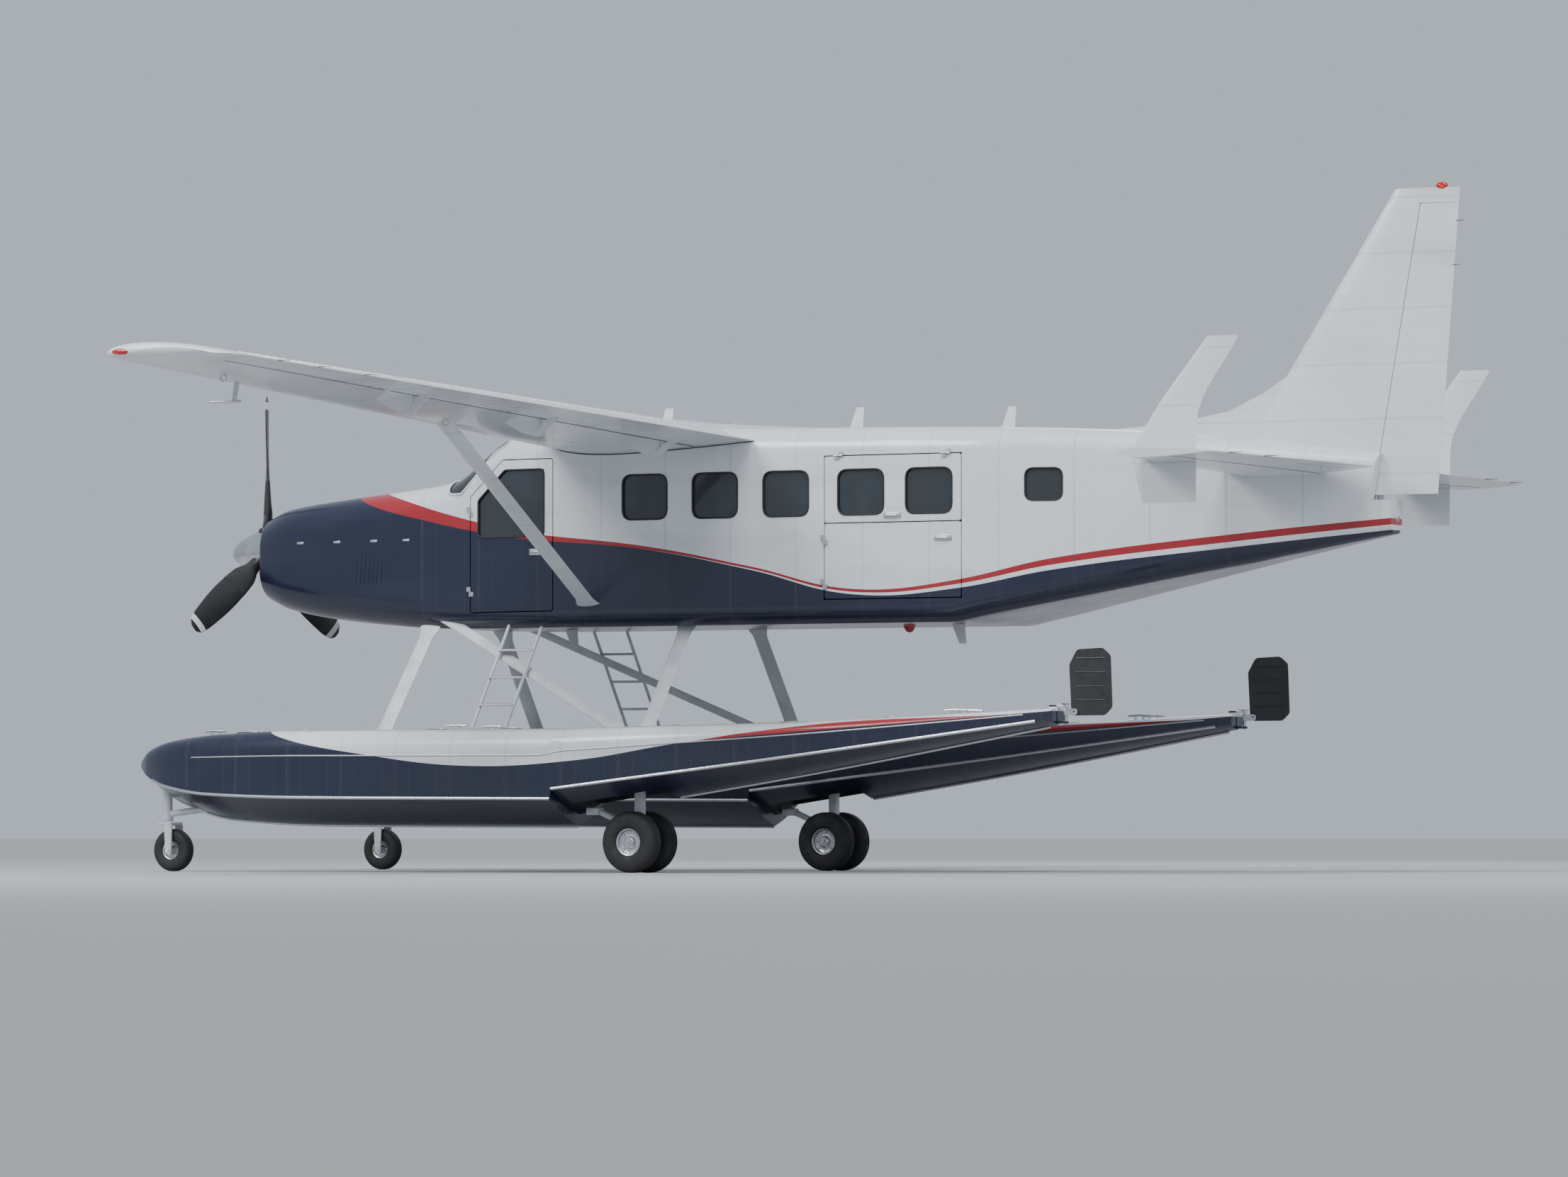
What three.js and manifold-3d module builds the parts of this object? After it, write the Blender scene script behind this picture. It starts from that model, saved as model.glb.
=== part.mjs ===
// A single-engine turboprop floatplane, standing on the wheels of its two amphibious floats.
// Millimetres, +X to the nose, +Y to port, +Z up, with the ground at z = 0 and the middle at x = 0.
// Tables give places as aft, behind the tip of the spinner, and up, above the propeller's axis.
import * as THREE from "three";
import { mergeVertices } from "three/addons/utils/BufferGeometryUtils.js";
import Module from "manifold-3d";

const wasm = await Module();
wasm.setup();

// Driving dimensions
const LENGTH = 11460;
const SPAN = 15874;
const AXIS_HEIGHT = 2730;
const WALL = 60;
const FLOOR = 80;
const FIT = 0.3;
const SLACK = 0.5;
const GAP = 6;
const DOOR_GAP = 9;
const FIREWALL = 2235;
const BULKHEAD = 8500;
const TAIL_END = 10900;
const FLOAT_Y = 1700;
const DECK_UP = -1560;

// Fuselage sections: aft, half width, top, low, radius of the upper corners, radius of the lower ones
const BODY_COLUMNS = ["aft", "half", "top", "low", "upper", "lower"];
const BODY = [
  [450, 330, 280, -400, 250, 230],
  [700, 405, 365, -500, 270, 260],
  [1300, 500, 430, -600, 260, 250],
  [2235, 640, 510, -680, 230, 210],
  [2500, 690, 545, -690, 220, 190],
  [3200, 795, 925, -700, 215, 160],
  [3600, 832, 955, -700, 205, 150],
  [5600, 835, 918, -700, 200, 150],
  [7300, 835, 885, -700, 190, 150],
  [7500, 830, 879, -665, 188, 155],
  [8500, 640, 845, -480, 185, 170],
  [9700, 380, 745, -255, 180, 180],
  [10900, 110, 600, -30, 95, 95],
];

// Float hull sections: aft, keel, chine, half beam, deck; the step is the jump behind 4390.
// Its side goes from the chine to the deck in shares of the half beam and of the height.
const HULL_COLUMNS = ["aft", "keel", "chine", "half", "deck"];
const HULL = [
  [200, -1885, -1862, 70, -1800],
  [330, -2005, -1930, 190, -1715],
  [600, -2160, -2020, 320, -1640],
  [1070, -2290, -2085, 420, -1590],
  [2000, -2338, -2115, 480, DECK_UP],
  [4390, -2350, -2130, 480, DECK_UP],
  [4395, -2255, -2050, 480, DECK_UP],
  [6500, -1935, -1800, 380, -1520],
  [8730, -1555, -1510, 130, -1425],
];
const HULL_SIDE = [[1, 0], [0.985, 0.7], [0.9, 0.93], [0.55, 1]];

// Lifting surfaces: span is where the section lies, hinge the fraction of the chord at the pivot
const WING = {
  root: { span: 700, le: 3556, chord: 1981, up: 885, drop: 80, thick: 0.17, camber: 0.018, hinge: 0.74 },
  tip: { span: 7790, le: 3800, chord: 1219, up: 1180, drop: 45, thick: 0.12, camber: 0.018, hinge: 0.74 },
};
const ELEVATOR_AFT = 10370;
const STABILIZER = {
  root: { span: 0, le: 9530, chord: 1320, up: 500, drop: 0, thick: 0.1, camber: 0,
    hinge: (ELEVATOR_AFT - 9530) / 1320 },
  tip: { span: 3125, le: 9920, chord: 790, up: 500, drop: 0, thick: 0.09, camber: 0,
    hinge: (ELEVATOR_AFT - 9920) / 790 },
};
const FIN = {
  root: { span: 300, le: 9330, chord: 1930, up: 0, drop: 0, thick: 0.065, camber: 0, hinge: 0.7275 },
  tip: { span: 2720, le: 10895, chord: 560, up: 0, drop: 0, thick: 0.1, camber: 0, hinge: 0.4732 },
};
const FLAP = {
  from: 860, to: 5360, ends: 16, drop: 190, brackets: [1300, 3150, 5000], buried: 22, eye: 40,
};
const AILERON = { from: 5450, to: 7600, ends: GAP };
const ELEVATOR = { from: 270, to: 3050 };
const RUDDER = { from: 285, to: 2594 };

// Windows: the middle of each, the same height in a row; openings are outlines of aft and up
const WINDOW = { up: 365, width: 420, height: 370, corner: 90 };
const FIXED_WINDOWS = [4520, 5180, 5840];
const REAR_WINDOW = { aft: 8130, up: 400, width: 300, height: 260, corner: 70 };
const CREW_DOOR = [[2800, -560], [3640, -560], [3640, 700], [3140, 700], [2800, 400]];
const CREW_WINDOW = [[2880, 60], [3560, 60], [3560, 620], [3160, 620], [2880, 370]];
const CARGO = { front: 6200, back: 7440, low: -500, split: 115, top: 660 };
const AIRSTAIR = { front: 6450, back: 7250, low: -500, split: 115, top: 660 };
const WINDSCREEN = [[2530, 430], [2530, 1100], [3185, 1100], [3185, 850], [3040, 770], [2700, 430]];

const PAINT = {
  white: "#d7dbe0", navy: "#1b2540", grey: "#9aa2ad", black: "#15161a",
  glass: "#20303c", steel: "#8b8f96", tyre: "#191a1c", leather: "#6f675c",
};
const TAU = Math.PI * 2;

// Placing
const place = (aft, y, up) => [LENGTH / 2 - aft, y, AXIS_HEIGHT + up];
const lerp = (a, b, t) => a + (b - a) * t;
const row = (columns, values) => Object.fromEntries(columns.map((name, i) => [name, values[i]]));
const rad = THREE.MathUtils.degToRad;

// Solids
function solidOf(geometry) {
  geometry.deleteAttribute("normal");
  geometry.deleteAttribute("uv");
  const merged = mergeVertices(geometry, 1e-3);
  return new wasm.Manifold(new wasm.Mesh({
    numProp: 3,
    vertProperties: merged.attributes.position.array,
    triVerts: new Uint32Array(merged.index.array),
  }));
}

function geometryOf(solid) {
  const mesh = solid.getMesh();
  const geometry = new THREE.BufferGeometry();
  geometry.setAttribute("position", new THREE.BufferAttribute(mesh.vertProperties, 3));
  geometry.setIndex(new THREE.BufferAttribute(mesh.triVerts, 1));
  return geometry;
}

const join = (...solids) => solids.reduce((a, b) => a.add(b));
const cut = (solid, ...tools) => tools.reduce((a, b) => a.subtract(b), solid);

// Triangles over a flat ring of points, with the ring's own sense.
function capOf(ring) {
  const normal = [0, 1, 2].map(k => Math.abs(ring.reduce((sum, p, i) => {
    const [q, a, b] = [ring[(i + 1) % ring.length], (k + 1) % 3, (k + 2) % 3];
    return sum + p[a] * q[b] - p[b] * q[a];
  }, 0)));
  const thin = normal.indexOf(Math.max(...normal));
  const [u, v] = [0, 1, 2].filter(k => k !== thin);
  const flat = ring.map(p => new THREE.Vector2(p[u], p[v]));
  const sense = Math.sign(THREE.ShapeUtils.area(flat));
  return THREE.ShapeUtils.triangulateShape(flat, []).map(([a, b, c]) => {
    const turn = Math.sign(THREE.ShapeUtils.area([flat[a], flat[b], flat[c]]));
    return turn === sense ? [a, b, c] : [a, c, b];
  });
}

// A solid through rings that have the same number of points.
function loft(rings) {
  const n = rings[0].length;
  const faces = capOf(rings[0]).map(([a, b, c]) => [a, c, b]);
  for (let k = 0; k + 1 < rings.length; k += 1) {
    for (let i = 0; i < n; i += 1) {
      const [a, b] = [k * n + i, k * n + (i + 1) % n];
      faces.push([a, b, b + n], [a, b + n, a + n]);
    }
  }
  const last = (rings.length - 1) * n;
  faces.push(...capOf(rings.at(-1)).map(face => face.map(i => i + last)));
  const points = rings.flat().map(p => new THREE.Vector3(...p));
  const volume = faces.reduce((sum, [a, b, c]) =>
    sum + points[a].dot(new THREE.Vector3().crossVectors(points[b], points[c])), 0);
  const outward = volume > 0 ? faces : faces.map(([a, b, c]) => [a, c, b]);
  const geometry = new THREE.BufferGeometry().setFromPoints(points);
  geometry.setIndex(outward.flat());
  return solidOf(geometry);
}

const box = ([aftA, aftB], [yA, yB], [upA, upB]) => {
  const [x, y, z] = place((aftA + aftB) / 2, (yA + yB) / 2, (upA + upB) / 2);
  return solidOf(new THREE.BoxGeometry(Math.abs(aftB - aftA), yB - yA, upB - upA).translate(x, y, z));
};

// An outline of aft and up, filled between two values of y.
function prism(outline, low, high) {
  const shape = new THREE.Shape(outline.map(([aft, up]) => {
    const [x, , z] = place(aft, 0, up);
    return new THREE.Vector2(x, z);
  }));
  const geometry = new THREE.ExtrudeGeometry(shape, { depth: high - low, bevelEnabled: false });
  return solidOf(geometry.rotateX(Math.PI / 2).translate(0, high, 0));
}

// A round bar from one point to another, or a flattened one whose width lies along the aircraft.
function bar(from, to, width, depth = width, sides = 12) {
  const [a, b] = [from, to].map(p => new THREE.Vector3(...place(...p)));
  const along = b.clone().sub(a);
  const geometry = new THREE.CylinderGeometry(0.5, 0.5, along.length(), sides);
  geometry.rotateY(Math.PI / sides).scale(width, 1, depth);
  const y = along.clone().normalize();
  const across = new THREE.Vector3().crossVectors(new THREE.Vector3(1, 0, 0), y);
  const z = across.length() > 0.1 ? across.normalize() : new THREE.Vector3(0, 0, 1);
  const x = new THREE.Vector3().crossVectors(y, z);
  geometry.applyMatrix4(new THREE.Matrix4().makeBasis(x, y, z));
  return solidOf(geometry.translate(...a.add(b).divideScalar(2).toArray()));
}

// A turned piece about an axis along the aircraft or across it: a profile of radius and distance.
function turned(profile, centre, axis, sides = 24) {
  const geometry = new THREE.LatheGeometry(profile.map(([r, h]) => new THREE.Vector2(r, h)), sides);
  geometry.rotateY(Math.PI / sides);
  if (axis === "aft") geometry.rotateZ(Math.PI / 2);
  return solidOf(geometry.translate(...place(...centre)));
}

// The same outline moved outward on every side, for an outline without hollows.
function grown(outline, by) {
  const sense = Math.sign(THREE.ShapeUtils.area(outline.map(p => new THREE.Vector2(...p))));
  const lines = outline.map((p, i) => {
    const q = outline[(i + 1) % outline.length];
    const size = Math.hypot(q[0] - p[0], q[1] - p[1]);
    const normal = [(q[1] - p[1]) / size * sense, (p[0] - q[0]) / size * sense];
    return { normal, offset: normal[0] * p[0] + normal[1] * p[1] + by };
  });
  return lines.map((b, i) => {
    const a = lines.at(i - 1);
    const det = a.normal[0] * b.normal[1] - a.normal[1] * b.normal[0];
    return [
      (a.offset * b.normal[1] - b.offset * a.normal[1]) / det,
      (a.normal[0] * b.offset - b.normal[0] * a.offset) / det,
    ];
  });
}

// A rectangle with rounded corners, as an outline of aft and up.
function rounded({ aft, up, width, height, corner }, steps = 2) {
  const [w, h, r] = [width / 2, height / 2, corner];
  const centres = [[w - r, h - r], [r - w, h - r], [r - w, r - h], [w - r, r - h]];
  return centres.flatMap(([a, b], quarter) => Array.from({ length: steps + 1 }, (_, i) => {
    const angle = (quarter + i / steps) * Math.PI / 2;
    return [aft + a + r * Math.cos(angle), up + b + r * Math.sin(angle)];
  }));
}

// Fuselage: a rounded rectangle at each station, moved outward by grow
function stationAt(table, columns, aft) {
  const rows = table.map(values => row(columns, values));
  const next = Math.max(1, rows.findIndex(r => r.aft >= aft));
  const [a, b] = [rows[next - 1], rows[next]];
  const t = (aft - a.aft) / (b.aft - a.aft);
  return Object.fromEntries(columns.map(name => [name, lerp(a[name], b[name], t)]));
}

function bodyRing(aft, grow, floor = 0) {
  const s = stationAt(BODY, BODY_COLUMNS, aft);
  const [half, top, low] = [s.half + grow, s.top + grow, s.low - grow + floor];
  const [above, below] = [s.upper + grow, s.lower + grow];
  const corners = [[1, 1, above], [-1, 1, above], [-1, -1, below], [1, -1, below]];
  return corners.flatMap(([side, over, r], quarter) => Array.from({ length: 5 }, (_, i) => {
    const angle = (quarter + i / 4) * Math.PI / 2;
    const y = side * (half - r) + r * Math.cos(angle);
    return place(aft, y, (over > 0 ? top - r : low + r) + r * Math.sin(angle));
  }));
}

function body(from, to, grow = 0, floor = 0) {
  const between = BODY.map(([aft]) => aft).filter(aft => aft > from + 5 && aft < to - 5);
  return loft([from, ...between, to].map(aft => bodyRing(aft, grow, floor)));
}

// A thin sheet that follows the fuselage at a depth under its skin, inside an outline seen from the side.
function sheet(outline, low, high, depth, thick, from = FIREWALL + 100, to = BULKHEAD - 100) {
  return cut(body(from, to, -depth), body(from, to, -depth - thick)).intersect(prism(outline, low, high));
}

// Lifting surfaces: an outline of aft and height at any place along the span
function airfoil({ le, chord, up, drop, thick, camber, hinge }) {
  const fractions = [1, hinge, hinge * 0.7, hinge * 0.42, hinge * 0.2, hinge * 0.08, hinge * 0.02, 0];
  const point = (s, side) => {
    const form = 0.2969 * Math.sqrt(s) - 0.126 * s - 0.3516 * s ** 2 + 0.2843 * s ** 3 - 0.1015 * s ** 4;
    return [le + s * chord, up - s * drop + (camber * 4 * s * (1 - s) + side * 5 * thick * form) * chord];
  };
  return [...fractions.map(s => point(s, 1)), ...fractions.slice(0, -1).reverse().map(s => point(s, -1))];
}

function sectionAt(surface, span) {
  const t = (span - surface.root.span) / (surface.tip.span - surface.root.span);
  const [root, tip] = [airfoil(surface.root), airfoil(surface.tip)];
  const points = root.map((p, i) => [lerp(p[0], tip[i][0], t), lerp(p[1], tip[i][1], t)]);
  const [above, below] = [points[1], points.at(-2)];
  const radius = (above[1] - below[1]) / 2;
  return { points, radius, pivot: [above[0], below[1] + radius] };
}

const noseArc = ({ pivot, radius }, by) => Array.from({ length: 7 }, (_, i) => {
  const angle = Math.PI / 2 + i / 6 * Math.PI;
  return [pivot[0] + (radius + by) * Math.cos(angle), pivot[1] + (radius + by) * Math.sin(angle)];
});
const wholeShape = section => section.points;
const movingShape = section => [section.points[0], ...noseArc(section, 0), section.points.at(-1)];
const bayShape = section => {
  const [far, tall] = [section.points[0][0] + 120, section.radius + 200];
  const { pivot: [aft, mid] } = section;
  const [roof, floor] = [mid + tall, mid - tall];
  return [[far, roof], [aft, roof], ...noseArc(section, GAP), [aft, floor], [far, floor]];
};
const flapBayShape = section => {
  const outline = bayShape(section);
  const lip = outline[6];
  return [...outline.slice(0, 7), [lip[0], outline.at(-1)[1]], outline.at(-1)];
};
const onWing = side => (aft, height, span) => place(aft, side * span, height);
const onFin = (aft, height, span) => place(aft, height, span);

function surfaceLoft(surface, spans, shape, placing) {
  return loft(spans.map(span => shape(sectionAt(surface, span)).map(([a, h]) => placing(a, h, span))));
}

// A rod along a surface's pivot, between two places along its span
function pivotRod(surface, from, to, width, along) {
  const ends = [from, to].map(span => {
    const { pivot } = sectionAt(surface, span);
    return along(pivot[0], pivot[1], span);
  });
  return bar(...ends, width);
}

const PIN = 16;
const BORE = 17.2;
const PIN_REACH = 32;
const EYE_GAP = 0.45;
const spanwise = side => (aft, height, span) => [aft, side * span, height];
const upright = (aft, height, span) => [aft, height, span];

const group = new THREE.Group();

function add(name, solid, colour, { metalness = 0.2, roughness = 0.45 } = {}) {
  const material = new THREE.MeshStandardMaterial({ color: colour, metalness, roughness });
  const mesh = new THREE.Mesh(geometryOf(solid), material);
  mesh.name = name;
  group.add(mesh);
}

const sides = [["left", 1], ["right", -1]];

// Wing: a centre section over the cabin, then a panel each side with its flap, aileron and tip
const wingCentre = loft([-1, 1].map(side =>
  sectionAt(WING, WING.root.span).points.map(([a, h]) => place(a, side * WING.root.span, h))));
add("wing_center", wingCentre, PAINT.white);

function wingTip(side) {
  const tip = { ...WING.tip, span: SPAN / 2, le: 4010, chord: 900, up: 1196, thick: 0.05 };
  return surfaceLoft({ root: WING.tip, tip }, [WING.tip.span, SPAN / 2], wholeShape, onWing(side));
}

function flapBracket(side, span) {
  const { pivot, radius, points } = sectionAt(WING, span);
  const [aft, up] = [pivot[0] - radius, pivot[1] - FLAP.drop];
  const roof = points.at(-2)[1] + FLAP.buried;
  const fixed = [
    [aft - 330, roof], [aft - 8, roof], [aft + 17, up + 16], [aft + 22, up],
    [aft + 14, up - 18], [aft - 16, up - 22], [aft - 150, up + 10], [aft - 330, roof - 35],
  ];
  const arm = [[aft - 16, up + 12], [aft - 20, up - 6], [aft, up - 20], [aft + 24, up - 8],
    [aft + radius + 140, roof - 2], [aft + radius + 40, roof - 2]];
  const slice = (outline, ...spans) => prism(outline, ...spans.map(at => side * at).sort((a, b) => a - b));
  const eye = (from, to) => bar([aft, side * (span + from), up], [aft, side * (span + to), up], FLAP.eye);
  return {
    fixed: join(slice(fixed, span - 30, span - 4), eye(-30, -EYE_GAP)),
    arm: join(slice(arm, span + 4, span + 26), eye(EYE_GAP, 26)),
  };
}

for (const [label, side] of sides) {
  const start = WING.root.span + FIT;
  const panel = surfaceLoft(WING, [start, WING.tip.span], wholeShape, onWing(side));
  const bays = [[FLAP, flapBayShape], [AILERON, bayShape]].map(([{ from, to, ends }, shape]) =>
    surfaceLoft(WING, [from - ends, to + ends], shape, onWing(side)));
  const brackets = FLAP.brackets.map(span => flapBracket(side, span));
  const pinEnds = [[AILERON.from, -1], [AILERON.to, 1]];
  const pins = pinEnds.map(([span, way]) =>
    pivotRod(WING, span - way * 20, span + way * (GAP + PIN_REACH), PIN, spanwise(side)));
  const bores = pinEnds.map(([span, way]) =>
    pivotRod(WING, span, span + way * (GAP + PIN_REACH + 3), BORE, spanwise(side)));
  const wing = join(cut(panel, ...bays, ...bores), wingTip(side), ...brackets.map(b => b.fixed));
  const flap = surfaceLoft(WING, [FLAP.from, FLAP.to], movingShape, onWing(side));
  const aileron = surfaceLoft(WING, [AILERON.from, AILERON.to], movingShape, onWing(side));
  add(`wing_${label}`, wing, PAINT.white);
  add(`flap_${label}`, join(flap, ...brackets.map(b => b.arm)), PAINT.white);
  add(`aileron_${label}`, join(aileron, ...pins), PAINT.white);
}

// Tail: stabilizer through the cone, one elevator on a torque tube, fin with its dorsal fillet, rudder
const RUDDER_FLOOR = 240;
const TUBE = 44;
const DORSAL = [[8250, 850], [9660, 1000], [9930, 1240], [10150, 1240], [10150, 600], [8250, 760]];
const FINLET_Y = 2500;
const FINLET_COLUMNS = ["up", "le", "te", "half"];
const FINLET = [
  [140, 9850, 10300, 9],
  [500, 9765, 10305, 14],
  [760, 9890, 10310, 14],
  [1420, 10400, 10665, 8],
];

const hinged = (surface, from, to, shape, placing) => surfaceLoft(surface, [from, to], shape, placing);
const bothSides = (from, to, shape, surface = STABILIZER) =>
  join(...sides.map(([, side]) => hinged(surface, from, to, shape, onWing(side))));
const stabilizerSocket = {
  root: { ...STABILIZER.root, le: STABILIZER.root.le - 1, chord: STABILIZER.root.chord + 2, thick: 0.101 },
  tip: { ...STABILIZER.tip, le: STABILIZER.tip.le - 1, chord: STABILIZER.tip.chord + 2, thick: 0.0915 },
};
const socket = bothSides(-1, 2700, wholeShape, stabilizerSocket);
const elevatorPins = (width, from, to) => join(...sides.map(([, side]) =>
  pivotRod(STABILIZER, ELEVATOR.to + from, ELEVATOR.to + to, width, spanwise(side))));
const [hingeAft, hingeUp] = sectionAt(STABILIZER, 0).pivot;
const torqueTube = (reach, width) =>
  bar([hingeAft, -reach, hingeUp], [hingeAft, reach, hingeUp], width, width, 16);
const tipSpan = STABILIZER.tip.span;
add("stabilizer", cut(
  bothSides(-1, tipSpan, wholeShape),
  bothSides(-1, ELEVATOR.to + GAP, bayShape),
  elevatorPins(BORE, 0, GAP + PIN_REACH + 3),
), PAINT.white);
add("elevator", join(
  bothSides(ELEVATOR.from, ELEVATOR.to, movingShape),
  torqueTube(ELEVATOR.from + 30, TUBE),
  elevatorPins(PIN, -20, GAP + PIN_REACH),
), PAINT.white);

const rudderBay = hinged(FIN, RUDDER_FLOOR, RUDDER.to + GAP, bayShape, onFin);
const rudderPins = (width, low, high) => [
  pivotRod(FIN, low, RUDDER.from + 20, width, upright),
  pivotRod(FIN, RUDDER.to - 20, high, width, upright),
];
const rudderBores = rudderPins(BORE, RUDDER_FLOOR - PIN_REACH - 3, RUDDER.to + GAP + PIN_REACH + 3);
const forward = aft => box([aft - 4000, aft], [-700, 700], [0, 1000]);
add("tail_cone", cut(
  body(BULKHEAD + FIT, TAIL_END),
  body(BULKHEAD - 5, 9400, -40),
  socket.intersect(forward(hingeAft + 1)),
  torqueTube(400, TUBE + 2 * GAP),
  rudderBay,
  rudderBores[0],
), PAINT.navy);
const fuselageTop = body(8000, TAIL_END, FIT);
add("fin", cut(
  join(hinged(FIN, 560, FIN.tip.span, wholeShape, onFin), prism(DORSAL, -16, 16)),
  fuselageTop,
  rudderBay,
  rudderBores[1],
), PAINT.white);
add("rudder", join(
  hinged(FIN, RUDDER.from, RUDDER.to, movingShape, onFin),
  ...rudderPins(PIN, RUDDER_FLOOR - PIN_REACH, RUDDER.to + GAP + PIN_REACH),
), PAINT.white);

for (const [label, side] of sides) {
  const rings = FINLET.map(values => {
    const { up, le, te, half } = row(FINLET_COLUMNS, values);
    const chord = te - le;
    const edge = [[1, 3], [0.6, half * 0.8], [0.3, half], [0.08, half * 0.65], [0, 0]];
    const mirrored = edge.slice(0, -1).reverse().map(([s, y]) => [s, -y]);
    return [...edge, ...mirrored].map(([s, y]) => place(le + s * chord, side * FINLET_Y + y, up));
  });
  add(`finlet_${label}`, cut(loft(rings), socket), PAINT.white);
}

// Cabin: a hollow shell with the wing, windscreen, windows and doors cut out of it
const DEEP = 1000;
const GLASS = { depth: 20, thick: 6, overlap: 14 };
const sideRange = side => (side > 0 ? [0, DEEP] : [-DEEP, 0]);
const through = (outline, side) => prism(outline, ...sideRange(side));
const cavity = body(FIREWALL + WALL, BULKHEAD - WALL, -WALL, FLOOR - WALL);
const hull = cut(body(FIREWALL, BULKHEAD), cavity);
const wingSocket = {
  root: { ...WING.root, le: WING.root.le - 0.6, chord: WING.root.chord + 1.2, thick: 0.1706 },
  tip: { ...WING.tip, le: WING.tip.le - 0.6, chord: WING.tip.chord + 1.2, thick: 0.1206 },
};
const centreSocket = loft([-1, 1].map(side =>
  sectionAt(wingSocket, WING.root.span).points.map(([a, h]) => place(a, side * (WING.root.span + 1), h))));
const wingSlot = join(centreSocket, ...sides.map(([, side]) =>
  surfaceLoft(wingSocket, [WING.root.span, 1000], wholeShape, onWing(side))));

// A pane in a groove of the wall, and the groove that it stands in
function pane(outline, low, high) {
  const make = (by, ease) =>
    sheet(grown(outline, by), low, high, GLASS.depth - ease, GLASS.thick + 2 * ease);
  return { glass: make(GLASS.overlap, 0), groove: make(GLASS.overlap + FIT, FIT) };
}
const panel = ({ front, back }, low, top) => [[front, low], [back, low], [back, top], [front, top]];
const windowAt = aft => rounded({ ...WINDOW, aft });
const [halfWide, halfTall] = [WINDOW.width / 2, WINDOW.height / 2];
const strip = { front: FIXED_WINDOWS[0] - halfWide, back: FIXED_WINDOWS.at(-1) + halfWide };
const stripOutline = panel(strip, WINDOW.up - halfTall, WINDOW.up + halfTall);
const screen = pane(WINDSCREEN, -DEEP, DEEP);
const strips = sides.map(([, side]) => pane(stripOutline, ...sideRange(side)));

// Hinges: a knuckle on the door beside one on the shell, on an axis just outside the skin
const KNUCKLE = { width: 18, length: 40, out: 12, deep: 34, leaf: 32 };
const SIDE_SKIN = 835;
const crewHinge = { aft: CREW_DOOR[0][0] - DOOR_GAP / 2, y: 746, ups: [-430, 240] };
const slab = (aft, y, up) => box(aft, y[0] < y[1] ? y : [y[1], y[0]], up);
const barrel = (from, to) => bar(from, to, KNUCKLE.width, KNUCKLE.width, 8);

function uprightHinge(side, aft, y, up) {
  const along = (low, high) => barrel([aft, side * y, low], [aft, side * y, high]);
  const lug = (from, to, low, high) => slab([from, to], [side * (y - KNUCKLE.deep), side * y], [low, high]);
  const [low, mid, high] = [up, up + KNUCKLE.length, up + 2 * KNUCKLE.length];
  return {
    door: join(along(low, mid), lug(aft, aft + KNUCKLE.leaf, low, mid)),
    frame: join(along(mid + SLACK, high), lug(aft - KNUCKLE.leaf, aft, mid + SLACK, high)),
  };
}

function levelHinge(side, up, way, aft) {
  const y = SIDE_SKIN + KNUCKLE.out;
  const along = (front, back) => barrel([front, side * y, up], [back, side * y, up]);
  const lug = (front, back, reach) => slab([front, back], [side * (y - KNUCKLE.deep), side * y],
    [Math.min(up, up + reach), Math.max(up, up + reach)]);
  const [front, mid, back] = [aft, aft + KNUCKLE.length, aft + 2 * KNUCKLE.length];
  return {
    door: join(along(front, mid), lug(front, mid, way * KNUCKLE.leaf)),
    frame: join(along(mid + SLACK, back), lug(mid + SLACK, back, -way * KNUCKLE.leaf)),
  };
}

const gapHalf = DOOR_GAP / 2;
const doors = [];
function addDoor(name, side, outline, windows, hinges) {
  doors.push({ side, outline, hinges });
  const leaf = hull.intersect(through(outline, side));
  const holes = windows.map(w => through(w, side));
  add(name, join(cut(leaf, ...holes), ...hinges.map(h => h.door)), PAINT.white);
}
for (const [label, side] of sides) {
  const hinges = crewHinge.ups.map(up => uprightHinge(side, crewHinge.aft, crewHinge.y, up));
  addDoor(`crew_door_${label}`, side, CREW_DOOR, [CREW_WINDOW], hinges);
}
const levelPair = (side, up, way, { front, back }) =>
  [front + 90, back - 170].map(aft => levelHinge(side, up, way, aft));
addDoor("cargo_door_upper", 1, panel(CARGO, CARGO.split + gapHalf, CARGO.top),
  [6530, 7150].map(windowAt), levelPair(1, CARGO.top + gapHalf, -1, CARGO));
addDoor("cargo_door_lower", 1, panel(CARGO, CARGO.low, CARGO.split - gapHalf), [],
  [-420, -60].map(up => uprightHinge(1, CARGO.front - gapHalf, SIDE_SKIN + KNUCKLE.out, up)));
addDoor("passenger_door_upper", -1, panel(AIRSTAIR, AIRSTAIR.split + gapHalf, AIRSTAIR.top),
  [windowAt((AIRSTAIR.front + AIRSTAIR.back) / 2)], levelPair(-1, AIRSTAIR.top + gapHalf, -1, AIRSTAIR));
addDoor("passenger_door_lower", -1, panel(AIRSTAIR, AIRSTAIR.low, AIRSTAIR.split - gapHalf), [],
  levelPair(-1, AIRSTAIR.low - gapHalf, 1, AIRSTAIR));

const shell = cut(
  hull,
  wingSlot,
  prism(WINDSCREEN, -DEEP, DEEP),
  screen.groove,
  ...strips.map(s => s.groove),
  ...sides.flatMap(([, side]) => FIXED_WINDOWS.map(aft => through(windowAt(aft), side))),
  prism(rounded(REAR_WINDOW), -DEEP, DEEP),
  ...doors.map(({ side, outline }) => through(grown(outline, DOOR_GAP), side)),
);
add("cabin_shell", join(shell, ...doors.flatMap(d => d.hinges.map(h => h.frame))), PAINT.white);
add("windscreen", screen.glass, PAINT.glass, { metalness: 0, roughness: 0.1 });
sides.forEach(([label], i) => add(`cabin_glass_${label}`, strips[i].glass, PAINT.glass));

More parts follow.
